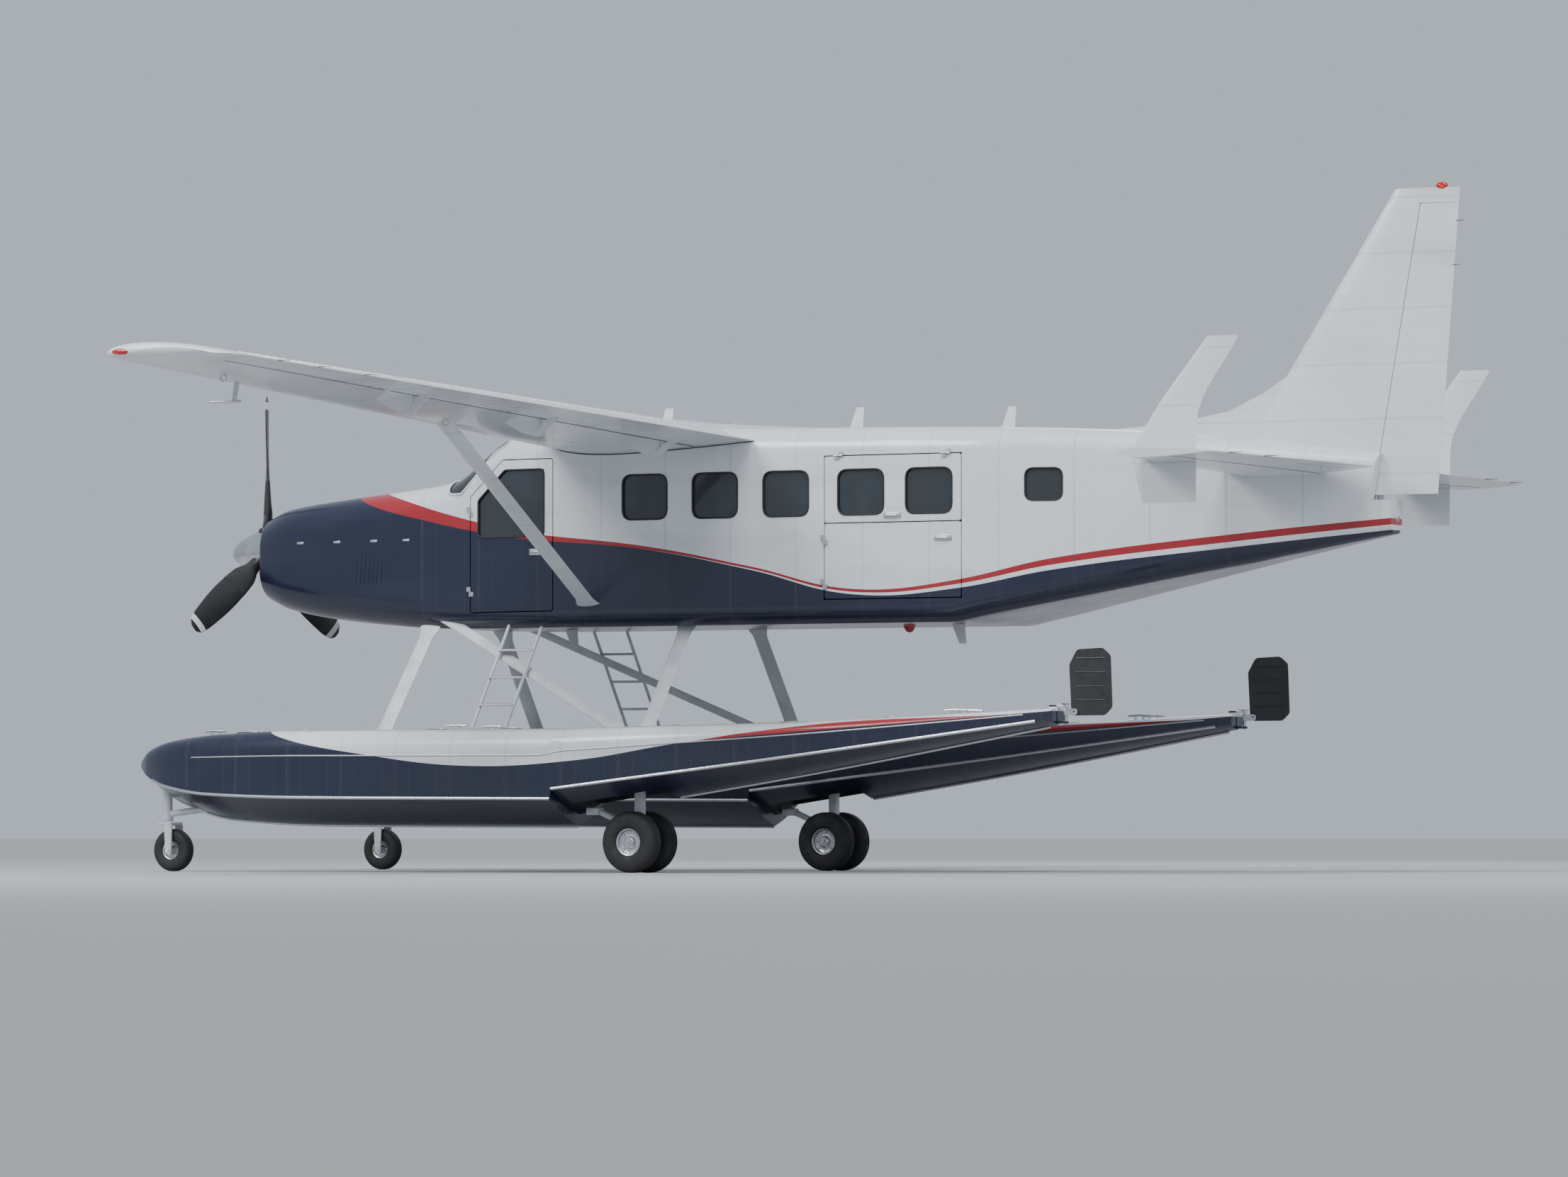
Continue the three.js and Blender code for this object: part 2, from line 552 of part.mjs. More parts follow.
// Inside: floor-mounted seats on their rails, and the instrument panel on its pedestal
const FLOOR_UP = -700 + FLOOR + FIT;
const seat = (aft, y) => join(
  box([aft, aft + 420], [y - 210, y + 210], [FLOOR_UP + 200, FLOOR_UP + 380]),
  box([aft + 60, aft + 360], [y - 130, y + 130], [FLOOR_UP, FLOOR_UP + 220]),
  prism([[aft + 330, FLOOR_UP + 300], [aft + 430, FLOOR_UP + 300], [aft + 520, FLOOR_UP + 950],
    [aft + 440, FLOOR_UP + 950]], y - 200, y + 200),
);
const beam = (aft, y) => box(aft, y, [FLOOR_UP, FLOOR_UP + 30]);
const CREW = { aft: 3230, y: 330 };
const ROWS = [4300, 5150, 6000];
const ROW_Y = 360;
const RAIL_Y = 270;
const crossBeam = aft => beam([aft, aft + 60], [-400, 400]);
const pair = (aft, y) => [seat(aft, y), seat(aft, -y)];
add("crew_seats", join(...pair(CREW.aft, CREW.y), crossBeam(CREW.aft + 170)), PAINT.leather);
add("cabin_seats", join(
  ...ROWS.flatMap(aft => pair(aft, ROW_Y)),
  ...ROWS.map(aft => crossBeam(aft + 180)),
  ...[RAIL_Y, -RAIL_Y].map(y => beam([ROWS[0] + 100, ROWS.at(-1) + 400], [y - 20, y + 20])),
), PAINT.leather);
const PEDESTAL = { front: 2560, back: 2760, half: 130 };
const pedestalFoot = stationAt(BODY, BODY_COLUMNS, PEDESTAL.front).low + FLOOR + FIT;
add("instrument_panel", join(
  box([2620, 2700], [-600, 600], [-60, 380]),
  box([PEDESTAL.front, PEDESTAL.back], [-PEDESTAL.half, PEDESTAL.half], [pedestalFoot, 0]),
), PAINT.black);

// Power plant: cowling, engine, exhaust, and the propeller with its spinner
const COWL = { front: 450, wall: 28, shaftHole: 150 };
const INLET = { y: [-190, 190], up: [-350, -230] };
const PROPELLER_BACK = 432;
add("engine_cowling", cut(
  body(COWL.front, FIREWALL - FIT),
  body(COWL.front + COWL.wall, FIREWALL, -COWL.wall),
  bar([COWL.front - 50, 0, 0], [COWL.front + 50, 0, 0], 2 * COWL.shaftHole, 2 * COWL.shaftHole, 24),
  box([COWL.front - 10, COWL.front + 40], INLET.y, INLET.up),
), PAINT.navy);
add("engine_block", turned([
  [0, PROPELLER_BACK], [60, PROPELLER_BACK], [60, 600], [150, 620], [241, 760], [241, 2160], [120, 2175],
  [120, FIREWALL - FIT], [0, FIREWALL - FIT],
], [0, 0, 0], "aft", 16), PAINT.steel, { metalness: 0.8 });
const EXHAUST = {
  root: [1100, -250, -330], elbow: [1240, -470, -505], end: [1650, -640, -580], width: 150, bore: 126,
};
const onExhaust = t => EXHAUST.elbow.map((start, k) => lerp(start, EXHAUST.end[k], t));
const elbowBall = new THREE.SphereGeometry(EXHAUST.width / 2, 16, 12);
add("exhaust_stack", cut(
  join(
    bar(EXHAUST.root, EXHAUST.elbow, EXHAUST.width, EXHAUST.width, 16),
    solidOf(elbowBall.translate(...place(...EXHAUST.elbow))),
    bar(EXHAUST.elbow, EXHAUST.end, EXHAUST.width, EXHAUST.width, 16),
  ),
  bar(onExhaust(0.3), onExhaust(1.1), EXHAUST.bore, EXHAUST.bore, 16),
  body(COWL.front, FIREWALL, FIT),
), PAINT.steel, { metalness: 0.7 });

const BLADE_COLUMNS = ["radius", "chord", "thick", "pitch"];
const BLADE = [
  [150, 110, 108, 45],
  [270, 125, 86, 48],
  [430, 205, 46, 43],
  [800, 240, 27, 32],
  [1150, 205, 18, 25],
  [1300, 150, 12, 22],
  [1345, 66, 8, 21],
];
const BLADES = 3;
const PROPELLER_AFT = 330;
function blade(turn) {
  return loft(BLADE.map(values => {
    const { radius, chord, thick, pitch } = row(BLADE_COLUMNS, values);
    return Array.from({ length: 10 }, (_, i) => {
      const angle = i / 10 * TAU;
      const [c, t] = [Math.cos(angle) * chord / 2, Math.sin(angle) * thick / 2];
      const round = c * Math.cos(rad(pitch)) - t * Math.sin(rad(pitch));
      const back = c * Math.sin(rad(pitch)) + t * Math.cos(rad(pitch));
      const [sin, cos] = [Math.sin(turn), Math.cos(turn)];
      return place(PROPELLER_AFT + back, radius * sin + round * cos, radius * cos - round * sin);
    });
  }));
}
const SPINNER = { back: 235, radius: 176 };
const spinnerProfile = [
  [0, 0], [62, 28], [112, 90], [150, 165], [SPINNER.radius, SPINNER.back], [0, SPINNER.back],
];
const hubFront = SPINNER.back + FIT;
const hubBack = PROPELLER_BACK - FIT;
add("spinner", turned(spinnerProfile, [0, 0, 0], "aft"), PAINT.white, { metalness: 0.5 });
add("propeller", join(
  turned([
    [0, hubFront], [SPINNER.radius, hubFront], [190, 320], [190, 400], [110, hubBack], [0, hubBack],
  ], [0, 0, 0], "aft"),
  ...Array.from({ length: BLADES }, (_, i) => blade(i / BLADES * TAU)),
), PAINT.black);

// Floats: a stepped hull each, with the lugs that hold its water rudder
function hullRing(values, y, grow) {
  const { aft, keel, chine, half, deck } = row(HULL_COLUMNS, values);
  const [low, mid, high] = [keel - grow, chine - grow, deck + grow];
  const upper = HULL_SIDE.map(([w, h]) => [(half + grow) * w, lerp(mid, high, h)]);
  const ring = [[0, low], ...upper, ...[...upper].reverse().map(([w, h]) => [-w, h])];
  return ring.map(([w, h]) => place(aft, y + w, h));
}
const floatHull = (side, grow = 0) => loft(HULL.map(values => hullRing(values, side * FLOAT_Y, grow)));
const near = (aft, y, up, side) => box(aft, [side * FLOAT_Y - y, side * FLOAT_Y + y], up);
const POST = { aft: 8800, low: -1552, high: -1385, width: 28, bore: 29.4 };
const STERN = {
  front: 8690, back: 8735, half: 22, block: [-1450, -1395], lugs: [[-1415, -1395], [-1545, -1525]],
};
const floatsGrown = sides.map(([, side]) => floatHull(side, SLACK));
for (const [label, side] of sides) {
  const y = side * FLOAT_Y;
  add(`float_${label}`, cut(
    join(
      floatHull(side),
      near([STERN.front, STERN.back], STERN.half, STERN.block, side),
      ...STERN.lugs.map(up => near([STERN.front, POST.aft + 18], STERN.half, up, side)),
    ),
    bar([POST.aft, y, POST.low - 50], [POST.aft, y, POST.high + 50], POST.bore),
  ), PAINT.navy);
}

// Struts: streamlined bars from the belly to the decks, with a spreader between the floats
const STRUT = { width: 130, depth: 50, top: 600, topUp: -620, foot: 1330, footUp: -1600 };
const belly = body(FIREWALL, BULKHEAD, FIT);
function strutFrame(aft, lean) {
  const legs = [1, -1].map(side => {
    const top = [aft + lean, side * STRUT.top, STRUT.topUp];
    return bar(top, [aft, side * STRUT.foot, STRUT.footUp], STRUT.width, STRUT.depth);
  });
  const feet = [1, -1].map(side =>
    slab([aft - 90, aft + 90], [side * 1150, side * 1400], [-1700, -1532]));
  const spreader = bar([aft, -1200, -1650], [aft, 1200, -1650], 110, 60);
  return cut(join(spreader, ...legs, ...feet), belly, ...floatsGrown);
}
add("front_float_struts", strutFrame(2290, 40), PAINT.grey);
add("rear_float_struts", strutFrame(4800, 0), PAINT.grey);
for (const [i, [label, side]] of sides.entries()) {
  const brace = bar([2520, side * 620, -620], [4620, side * STRUT.foot, STRUT.footUp], 90, 45);
  add(`diagonal_brace_${label}`, cut(brace, belly, floatsGrown[i]), PAINT.grey);
  const strut = bar([3980, side * 740, -560], [4060, side * 3270, 860], 165, 52);
  const above = surfaceLoft(wingSocket, [2700, 3800], wholeShape, onWing(side));
  add(`wing_strut_${label}`, cut(strut, belly, above), PAINT.grey);
}

// Main gear: a leg behind each step with its drag brace, and twin wheels on one axle
const WHEEL_SIDES = 20;
const onFlat = radius => -AXIS_HEIGHT + radius * Math.cos(Math.PI / WHEEL_SIDES);
const MAIN = { aft: 4960, radius: 252, apart: 138, axle: 50, leg: 38, bay: -1900 };
const BOW = { castor: 420, aft: 480, radius: 180, axle: 24, pin: 36, seat: -2200, cheek: [74, 94] };
const mainUp = onFlat(MAIN.radius);
const bowUp = onFlat(BOW.radius);
const bothWays = steps => [...[...steps].reverse().map(([r, h]) => [r, -h]), ...steps];
const tyreOf = steps => [...bothWays(steps), [steps.at(-1)[0], -steps.at(-1)[1]]].reverse();
const mainTyre = tyreOf([[252, 30], [234, 68], [195, 82], [110, 54]]).reverse();
const bowTyre = tyreOf([[180, 15], [169, 44], [142, 62], [80, 42]]).reverse();
const mainHub = bothWays([[25, 50], [60, 50], [109.7, 84], [109.7, 190], [0, 190]]);
const bowHub = bothWays([[79.7, 45], [40, 68], [12, 68], [12, 92], [0, 92]]);
const LIFT = { aft: 8880, up: -1450, pin: 14, fork: [-1480, -1425] };
const RUDDER_PLATE = [
  [8852, -1482], [9140, -1482], [9205, -1420], [9190, -1010], [9120, -950], [8900, -960], [8832, -1080],
];
const RUBBER = { metalness: 0, roughness: 0.9 };
const METAL = { metalness: 0.8, roughness: 0.4 };
const wheel = (profile, aft, y, up) => turned(profile, [aft, y, up], "across", WHEEL_SIDES);
const around = (aft, y, up, reach, width) =>
  bar([aft, y - reach, up], [aft, y + reach, up], width, width, 16);

for (const [i, [label, side]] of sides.entries()) {
  const y = side * FLOAT_Y;
  add(`main_gear_leg_${label}`, cut(
    join(
      near([MAIN.aft - MAIN.leg, MAIN.aft + MAIN.leg], 36, [mainUp, MAIN.bay], side),
      around(MAIN.aft, y, mainUp, 42, 120),
      bar([MAIN.aft, y, mainUp + 90], [4540, y, -2150], 60, 60),
    ),
    around(MAIN.aft, y, mainUp, 60, MAIN.axle + 2.4),
    floatsGrown[i],
  ), PAINT.grey);
  for (const [end, way] of [["outer", side], ["inner", -side]]) {
    const tyre = wheel(mainTyre, MAIN.aft, y + way * MAIN.apart, mainUp);
    add(`main_tyre_${label}_${end}`, tyre, PAINT.tyre, RUBBER);
  }
  add(`main_wheel_hubs_${label}`, wheel(mainHub, MAIN.aft, y, mainUp), PAINT.steel, METAL);

  add(`bow_gear_leg_${label}`, cut(
    join(
      bar([BOW.castor, y, -2310], [BOW.castor, y, -1950], 92),
      bar([BOW.castor, y, -2250], [860, y, -2190], 56),
    ),
    bar([BOW.castor, y, -2330], [BOW.castor, y, BOW.seat + FIT], BOW.pin + 2),
    floatsGrown[i],
  ), PAINT.grey);
  add(`bow_fork_${label}`, cut(
    join(
      near([375, 510], 94, [-2346, -2316], side),
      ...[1, -1].map(way =>
        slab([450, 510], BOW.cheek.map(out => y + way * out), [bowUp - 34, -2320])),
      bar([BOW.castor, y, -2330], [BOW.castor, y, BOW.seat], BOW.pin),
    ),
    around(BOW.aft, y, bowUp, 100, BOW.axle + 1.6),
  ), PAINT.grey);
  add(`bow_tyre_${label}`, wheel(bowTyre, BOW.aft, y, bowUp), PAINT.tyre, RUBBER);
  add(`bow_wheel_hub_${label}`, wheel(bowHub, BOW.aft, y, bowUp), PAINT.steel, METAL);

  const cheek = way => slab([POST.aft - 8, 8910], [y + way * 13, y + way * 23], LIFT.fork);
  add(`water_rudder_post_${label}`, cut(
    join(
      bar([POST.aft, y, POST.low], [POST.aft, y, POST.high], POST.width),
      bar([POST.aft, y, STERN.block[1] + FIT], [POST.aft, y, POST.high], 42),
      near([POST.aft - 13, POST.aft + 13], 23, LIFT.fork, side),
      cheek(1),
      cheek(-1),
    ),
    around(LIFT.aft, y, LIFT.up, 40, LIFT.pin + 1.6),
  ), PAINT.steel);
  add(`water_rudder_blade_${label}`, join(
    prism(RUDDER_PLATE, y - 8, y + 8),
    around(LIFT.aft, y, LIFT.up, 23, LIFT.pin),
  ), PAINT.black);
}

export default group;
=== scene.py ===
from math import copysign, cos, exp, inf, pi, radians, sin, sqrt, tan, tau

import bmesh
import bpy
from mathutils import Matrix, Vector


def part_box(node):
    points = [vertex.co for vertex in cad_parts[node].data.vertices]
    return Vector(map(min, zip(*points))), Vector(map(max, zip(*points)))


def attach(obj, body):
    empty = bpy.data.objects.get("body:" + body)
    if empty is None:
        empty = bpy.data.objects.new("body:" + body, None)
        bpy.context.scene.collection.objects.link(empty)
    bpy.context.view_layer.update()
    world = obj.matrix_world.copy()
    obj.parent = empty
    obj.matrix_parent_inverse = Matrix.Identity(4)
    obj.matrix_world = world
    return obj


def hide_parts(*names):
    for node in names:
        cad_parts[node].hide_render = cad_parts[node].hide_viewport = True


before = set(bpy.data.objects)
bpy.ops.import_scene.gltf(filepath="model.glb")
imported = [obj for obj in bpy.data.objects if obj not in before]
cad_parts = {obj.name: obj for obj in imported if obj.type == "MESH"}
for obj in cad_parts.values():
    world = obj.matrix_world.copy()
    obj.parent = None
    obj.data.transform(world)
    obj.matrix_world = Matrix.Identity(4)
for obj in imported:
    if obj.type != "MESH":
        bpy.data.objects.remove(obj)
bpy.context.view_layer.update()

noseLow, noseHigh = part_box("spinner")
noseTip = noseHigh.x
axisUp = (noseLow.z + noseHigh.z) / 2
floatMiddle = sum(corner.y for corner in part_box("float_left")) / 2
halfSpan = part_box("wing_left")[1].y
sides = [("left", 1), ("right", -1)]
airframe = "airframe"


# Metres behind the spinner's tip, to port, and above the propeller's axis
def spot(aft, y, up):
    return Vector((noseTip - aft, y, axisUp + up))


# Materials: each is a Principled shader whose colour, roughness and bump come from noise and patterns
def newMaterial(name, **sockets):
    material = bpy.data.materials.new(name)
    material.use_nodes = True
    shader = material.node_tree.nodes["Principled BSDF"]
    for socket, value in sockets.items():
        shader.inputs[socket.replace("_", " ")].default_value = value
    return material, material.node_tree, shader


def link(tree, source, target):
    tree.links.new(source, target)


def node(tree, kind, *inputs, **settings):
    made = tree.nodes.new("ShaderNode" + kind)
    for name, value in settings.items():
        setattr(made, name, value)
    for index, value in enumerate(inputs):
        if isinstance(value, bpy.types.NodeSocket):
            link(tree, value, made.inputs[index])
        else:
            made.inputs[index].default_value = value
    return made


def sums(tree, operation, *inputs):
    return node(tree, "Math", *inputs, operation=operation).outputs[0]


def position(tree):
    return node(tree, "SeparateXYZ", node(tree, "TexCoord").outputs["Object"]).outputs


def noiseOf(tree, scale, detail, stretch=(1, 1, 1)):
    placed = node(tree, "Mapping", node(tree, "TexCoord").outputs["Object"])
    placed.inputs["Scale"].default_value = stretch
    noise = node(tree, "TexNoise", placed.outputs[0])
    noise.inputs["Scale"].default_value = scale
    noise.inputs["Detail"].default_value = detail
    return noise.outputs["Fac"]


# A value's run from low to high, mapped on to another run
def between(tree, value, low, high, start=0, end=1):
    return node(tree, "MapRange", value, low, high, start, end).outputs["Result"]


def mixed(tree, factor, *colours):
    inputs = [tone if isinstance(tone, bpy.types.NodeSocket) else (*tone, 1) for tone in colours]
    return node(tree, "MixRGB", factor, *inputs).outputs[0]


def faded(colour, share):
    return tuple(part * share for part in colour)


def coloured(tree, shader, tone):
    link(tree, tone, shader.inputs["Base Color"])


def rougher(tree, shader, low, high, scale, stretch=(1, 1, 1)):
    worn = between(tree, noiseOf(tree, scale, 4, stretch), 0.3, 0.7)
    link(tree, between(tree, worn, 0, 1, low, high), shader.inputs["Roughness"])


def bumped(tree, shader, height, depth, strength):
    bump = node(tree, "Bump")
    bump.inputs["Strength"].default_value = strength
    bump.inputs["Distance"].default_value = depth
    link(tree, height, bump.inputs["Height"])
    link(tree, bump.outputs[0], shader.inputs["Normal"])


# A line of unit height wherever a coordinate passes one of the evenly spaced seams
def seams(tree, coordinate, spacing, start, width):
    shifted = sums(tree, "SUBTRACT", coordinate, start)
    folded = sums(tree, "PINGPONG", shifted, spacing / 2)
    return sums(tree, "LESS_THAN", folded, width / 2)


# Rows of round rivet heads beside the seams
def rivets(tree, along, across, spacing, pitch, start, offset, head):
    shifted = sums(tree, "SUBTRACT", along, start)
    row = sums(tree, "SUBTRACT", sums(tree, "PINGPONG", shifted, spacing / 2), offset)
    cell = sums(tree, "SUBTRACT", sums(tree, "PINGPONG", across, pitch / 2), pitch / 4)
    squares = sums(tree, "MULTIPLY", row, row), sums(tree, "MULTIPLY", cell, cell)
    reach = sums(tree, "SQRT", sums(tree, "ADD", *squares))
    return sums(tree, "LESS_THAN", reach, head)


# A height that changes along the aircraft, drawn as a curve through a few points of aft and up
def edgeHeight(tree, points, x):
    length, low, high = 11.5, -2.5, 1.5
    aft = sums(tree, "SUBTRACT", noseTip, x)
    curve = node(tree, "FloatCurve")
    line = curve.mapping.curves[0]
    for index, (place, up) in enumerate(points):
        at = (place / length, (up - low) / (high - low))
        if index < 2:                              # a new curve has its two ends already
            line.points[index].location = at
        else:
            line.points.new(*at)
    curve.mapping.update()
    link(tree, between(tree, aft, 0, length), curve.inputs["Value"])
    return between(tree, curve.outputs[0], 0, 1, axisUp + low, axisUp + high)


paint = dict(
    white=(0.66, 0.69, 0.72), navy=(0.0065, 0.0095, 0.03), red=(0.3, 0.012, 0.018),
    dirt=(0.2, 0.18, 0.15), fade=0.93, navyGrime=0.1,
    coat=dict(Coat_Weight=0.35, Coat_Roughness=0.12), gloss=(0.26, 0.34, 3),
    seam=dict(width=0.004, tone=(0.05, 0.05, 0.06), share=0.45),
    rivet=dict(head=0.0032, offset=0.014, tone=(0.1, 0.1, 0.11), share=0.16, rise=0.5),
    peel=dict(scale=70, rise=0.12, depth=0.0012, strength=0.6),
)


# Painted skin: white above, a red line and navy below, worn a little, with its panel seams and rivets
def painted(name, seam, edge=None, redWidth=None, gap=None, rowAxis="X", streaks=0.25, rivetPitch=0.028):
    material, tree, shader = newMaterial(name, **paint["coat"])
    x, y, z = position(tree)
    tone = mixed(tree, between(tree, noiseOf(tree, 1.3, 5), 0.3, 0.7), paint["white"],
                 faded(paint["white"], paint["fade"]))
    dust = between(tree, noiseOf(tree, 2.2, 6, (0.35, 1, 1.6)), 0.52, 0.78)
    grime = sums(tree, "MULTIPLY", dust, streaks)
    tone = mixed(tree, grime, tone, paint["dirt"])
    if edge:
        above = sums(tree, "SUBTRACT", z, edgeHeight(tree, edge, x))
        lifted = above
        if gap:
            bare = edgeHeight(tree, gap, x)
            lifted = sums(tree, "SUBTRACT", above, sums(tree, "SUBTRACT", bare, axisUp))
        width = sums(tree, "SUBTRACT", edgeHeight(tree, redWidth, x), axisUp)
        stripe = sums(tree, "MULTIPLY", sums(tree, "GREATER_THAN", lifted, 0),
                      sums(tree, "LESS_THAN", lifted, width))
        tone = mixed(tree, stripe, tone, paint["red"])
        tone = mixed(tree, sums(tree, "LESS_THAN", above, 0), tone, paint["navy"])
        tone = mixed(tree, sums(tree, "MULTIPLY", grime, paint["navyGrime"]), tone, paint["dirt"])
    along = dict(X=x, Y=y, Z=z)[rowAxis]
    across = sums(tree, "ADD", z, y) if rowAxis == "X" else x
    line, rivet, peel = paint["seam"], paint["rivet"], paint["peel"]
    spacing, start = seam
    joints = seams(tree, along, spacing, start, line["width"])
    rows = [rivets(tree, along, across, spacing, rivetPitch, start, offset, rivet["head"])
            for offset in (rivet["offset"], spacing / 4)]
    heads = sums(tree, "MAXIMUM", *rows)
    for mask, detail in ((joints, line), (heads, rivet)):
        tone = mixed(tree, sums(tree, "MULTIPLY", mask, detail["share"]), tone, detail["tone"])
    coloured(tree, shader, tone)
    rougher(tree, shader, *paint["gloss"])
    orange = sums(tree, "MULTIPLY", noiseOf(tree, peel["scale"], 2), peel["rise"])
    raised = sums(tree, "ADD", orange, sums(tree, "MULTIPLY", heads, rivet["rise"]))
    bumped(tree, shader, sums(tree, "SUBTRACT", raised, joints), peel["depth"], peel["strength"])
    return material


# Any other finish: two tones of a colour in patches, and a roughness that varies
def mottled(name, colour, fade, patches, spread, roughness, grain, **sockets):
    material, tree, shader = newMaterial(name, **sockets)
    share = between(tree, noiseOf(tree, *patches), *spread)
    coloured(tree, shader, mixed(tree, share, colour, faded(colour, fade)))
    rougher(tree, shader, *roughness, *grain)
    return material, tree, shader


def metal(name, colour, roughness, grain=(1, 1, 1), scale=40):
    material, tree, shader = mottled(name, colour, 0.72, (scale, 4, grain), (0.25, 0.75), roughness,
                                     (scale, grain), Metallic=1)
    bumped(tree, shader, noiseOf(tree, scale * 3, 3, grain), 0.0004, 0.4)
    return material


def plastic(name, colour, roughness, scale=180, depth=0.0004, sheen=0):
    material, tree, shader = mottled(name, colour, 0.75, (5, 5), (0.3, 0.75), roughness, (14, ),
                                     Sheen_Weight=sheen)
    bumped(tree, shader, noiseOf(tree, scale, 2), depth, 0.5)
    return material


def glassOf(name, colour, roughness=0.04, amount=0.82):
    return mottled(name, colour, 0.8, (2, 3), (0.35, 0.7), (roughness, roughness * 2.2), (5, ),
                   Transmission_Weight=amount, IOR=1.45, Coat_Weight=0.4)[0]


bodyLivery = dict(
    edge=[(0, 0.62), (1, 0.6), (1.7, 0.36), (2.3, 0.22), (3.2, 0.06), (4.5, -0.065),
          (5.5, -0.25), (6.5, -0.47), (7.4, -0.43), (8.2, -0.29), (9.6, -0.13), (11.2, 0.03)],
    redWidth=[(0, 0), (1, 0.04), (1.7, 0.13), (2.6, 0.1), (3.6, 0.05), (5, 0.022),
              (7, 0.03), (8.4, 0.055), (11.2, 0.05)],
    gap=[(0, 0), (4.5, 0), (6.5, 0.02), (8.2, 0.04), (11.2, 0.04)],
)
floatLivery = dict(
    edge=[(0, -1.3), (1.2, -1.4), (1.8, -1.62), (2.6, -1.76), (3.6, -1.86), (4.6, -1.82),
          (5.6, -1.68), (6.6, -1.6), (8, -1.5), (9.3, -1.4)],
    redWidth=[(0, 0), (5.6, 0), (6.2, 0.03), (7, 0.05), (7.9, 0.02), (8.4, 0), (9.3, 0)],
)

bodyPaint = painted("body_paint", (0.61, 2.235 % 0.61), **bodyLivery)
cowlPaint = painted("cowl_paint", (1.785, noseTip - 0.45 - 0.02), rivetPitch=0.055, streaks=0.3, **bodyLivery)
wingPaint = painted("wing_paint", (0.62, 0.08), rowAxis="Y", streaks=0.2)
tailPaint = painted("tail_paint", (0.44, 0.1), rowAxis="Z", streaks=0.18)
tailplanePaint = painted("tailplane_paint", (0.5, 0.15), rowAxis="Y", streaks=0.2)
floatPaint = painted("float_paint", (0.52, 0.2), streaks=0.35, rivetPitch=0.022, **floatLivery)
strutPaint = plastic("strut_paint", (0.6, 0.62, 0.65), (0.3, 0.48), 60, 0.0003)
composite = plastic("blade_composite", (0.022, 0.022, 0.025), (0.3, 0.5))
rubber = plastic("tyre_rubber", (0.02, 0.02, 0.021), (0.62, 0.85), 220, 0.0007)
sealRubber = plastic("seal_rubber", (0.018, 0.018, 0.018), (0.6, 0.8))
bareAlloy = metal("bare_alloy", (0.62, 0.63, 0.65), (0.28, 0.45), grain=(1, 6, 1))
chromed = metal("polished_metal", (0.72, 0.73, 0.75), (0.06, 0.16), scale=12)
darkMetal = metal("dark_metal", (0.11, 0.11, 0.12), (0.4, 0.6))
hotSteel = metal("exhaust_steel", (0.34, 0.29, 0.25), (0.35, 0.6), scale=16)
soot = plastic("exhaust_soot", (0.025, 0.022, 0.02), (0.8, 0.95), 60, 0.0008)
leather = plastic("seat_leather", (0.2, 0.175, 0.15), (0.45, 0.6), 120, 0.0008, 0.15)
panelBlack = plastic("panel_black", (0.02, 0.021, 0.023), (0.5, 0.7))
trimGrey = plastic("trim_grey", (0.3, 0.3, 0.29), (0.6, 0.8), 90, 0.0006)
walkway = plastic("walkway_grit", (0.035, 0.036, 0.038), (0.85, 0.95), 260, 0.0022)
glazing = glassOf("glazing", (0.13, 0.16, 0.18))
redLens = glassOf("red_lens", (0.75, 0.03, 0.02), 0.06, 0.5)
greenLens = glassOf("green_lens", (0.02, 0.45, 0.12), 0.06, 0.5)
clearLens = glassOf("clear_lens", (0.92, 0.93, 0.95), 0.03, 0.85)
markWhite = plastic("mark_white", (0.75, 0.76, 0.78), (0.4, 0.55))
slots = dict(
    white_paint=[bodyPaint, wingPaint, tailPaint, tailplanePaint, markWhite], navy_paint=[cowlPaint],
    navy_aluminium=[floatPaint], strut_paint=[strutPaint], black_composite=[composite, walkway],
    tyre_rubber=[rubber, sealRubber], white_aluminium=[bareAlloy], polished_metal=[chromed],
    dark_metal=[darkMetal, hotSteel], seat_leather=[leather], panel_black=[panelBlack, trimGrey],
    glazing=[glazing, redLens, greenLens, clearLens],
)
slotOf = {material.name: slot for slot, group in slots.items() for material in group}
print("materials ready")


# Meshes: every finished piece is one object at the origin with its place in its mesh
def finish(name, bm, material, body=airframe, nodes=(), sharp=32, slot=None):
    bmesh.ops.remove_doubles(bm, verts=bm.verts, dist=1e-6)
    bmesh.ops.recalc_face_normals(bm, faces=bm.faces)
    mesh = bpy.data.meshes.new(name)
    bm.to_mesh(mesh)
    bm.free()
    piece = bpy.data.objects.new(name, mesh)
    bpy.context.collection.objects.link(piece)
    mesh.materials.append(material)
    mesh.shade_smooth()
    mesh.set_sharp_from_angle(angle=radians(sharp))
    if body:
        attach(piece, body)
        slot or slotOf[material.name]
    if nodes:
        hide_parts(*nodes)
    return piece


def applied(piece):
    bpy.context.view_layer.update()
    whole = piece.evaluated_get(bpy.context.evaluated_depsgraph_get())
    shaped = bpy.data.meshes.new_from_object(whole)
    old = piece.data
    piece.modifiers.clear()
    piece.data = shaped
    bpy.data.meshes.remove(old)


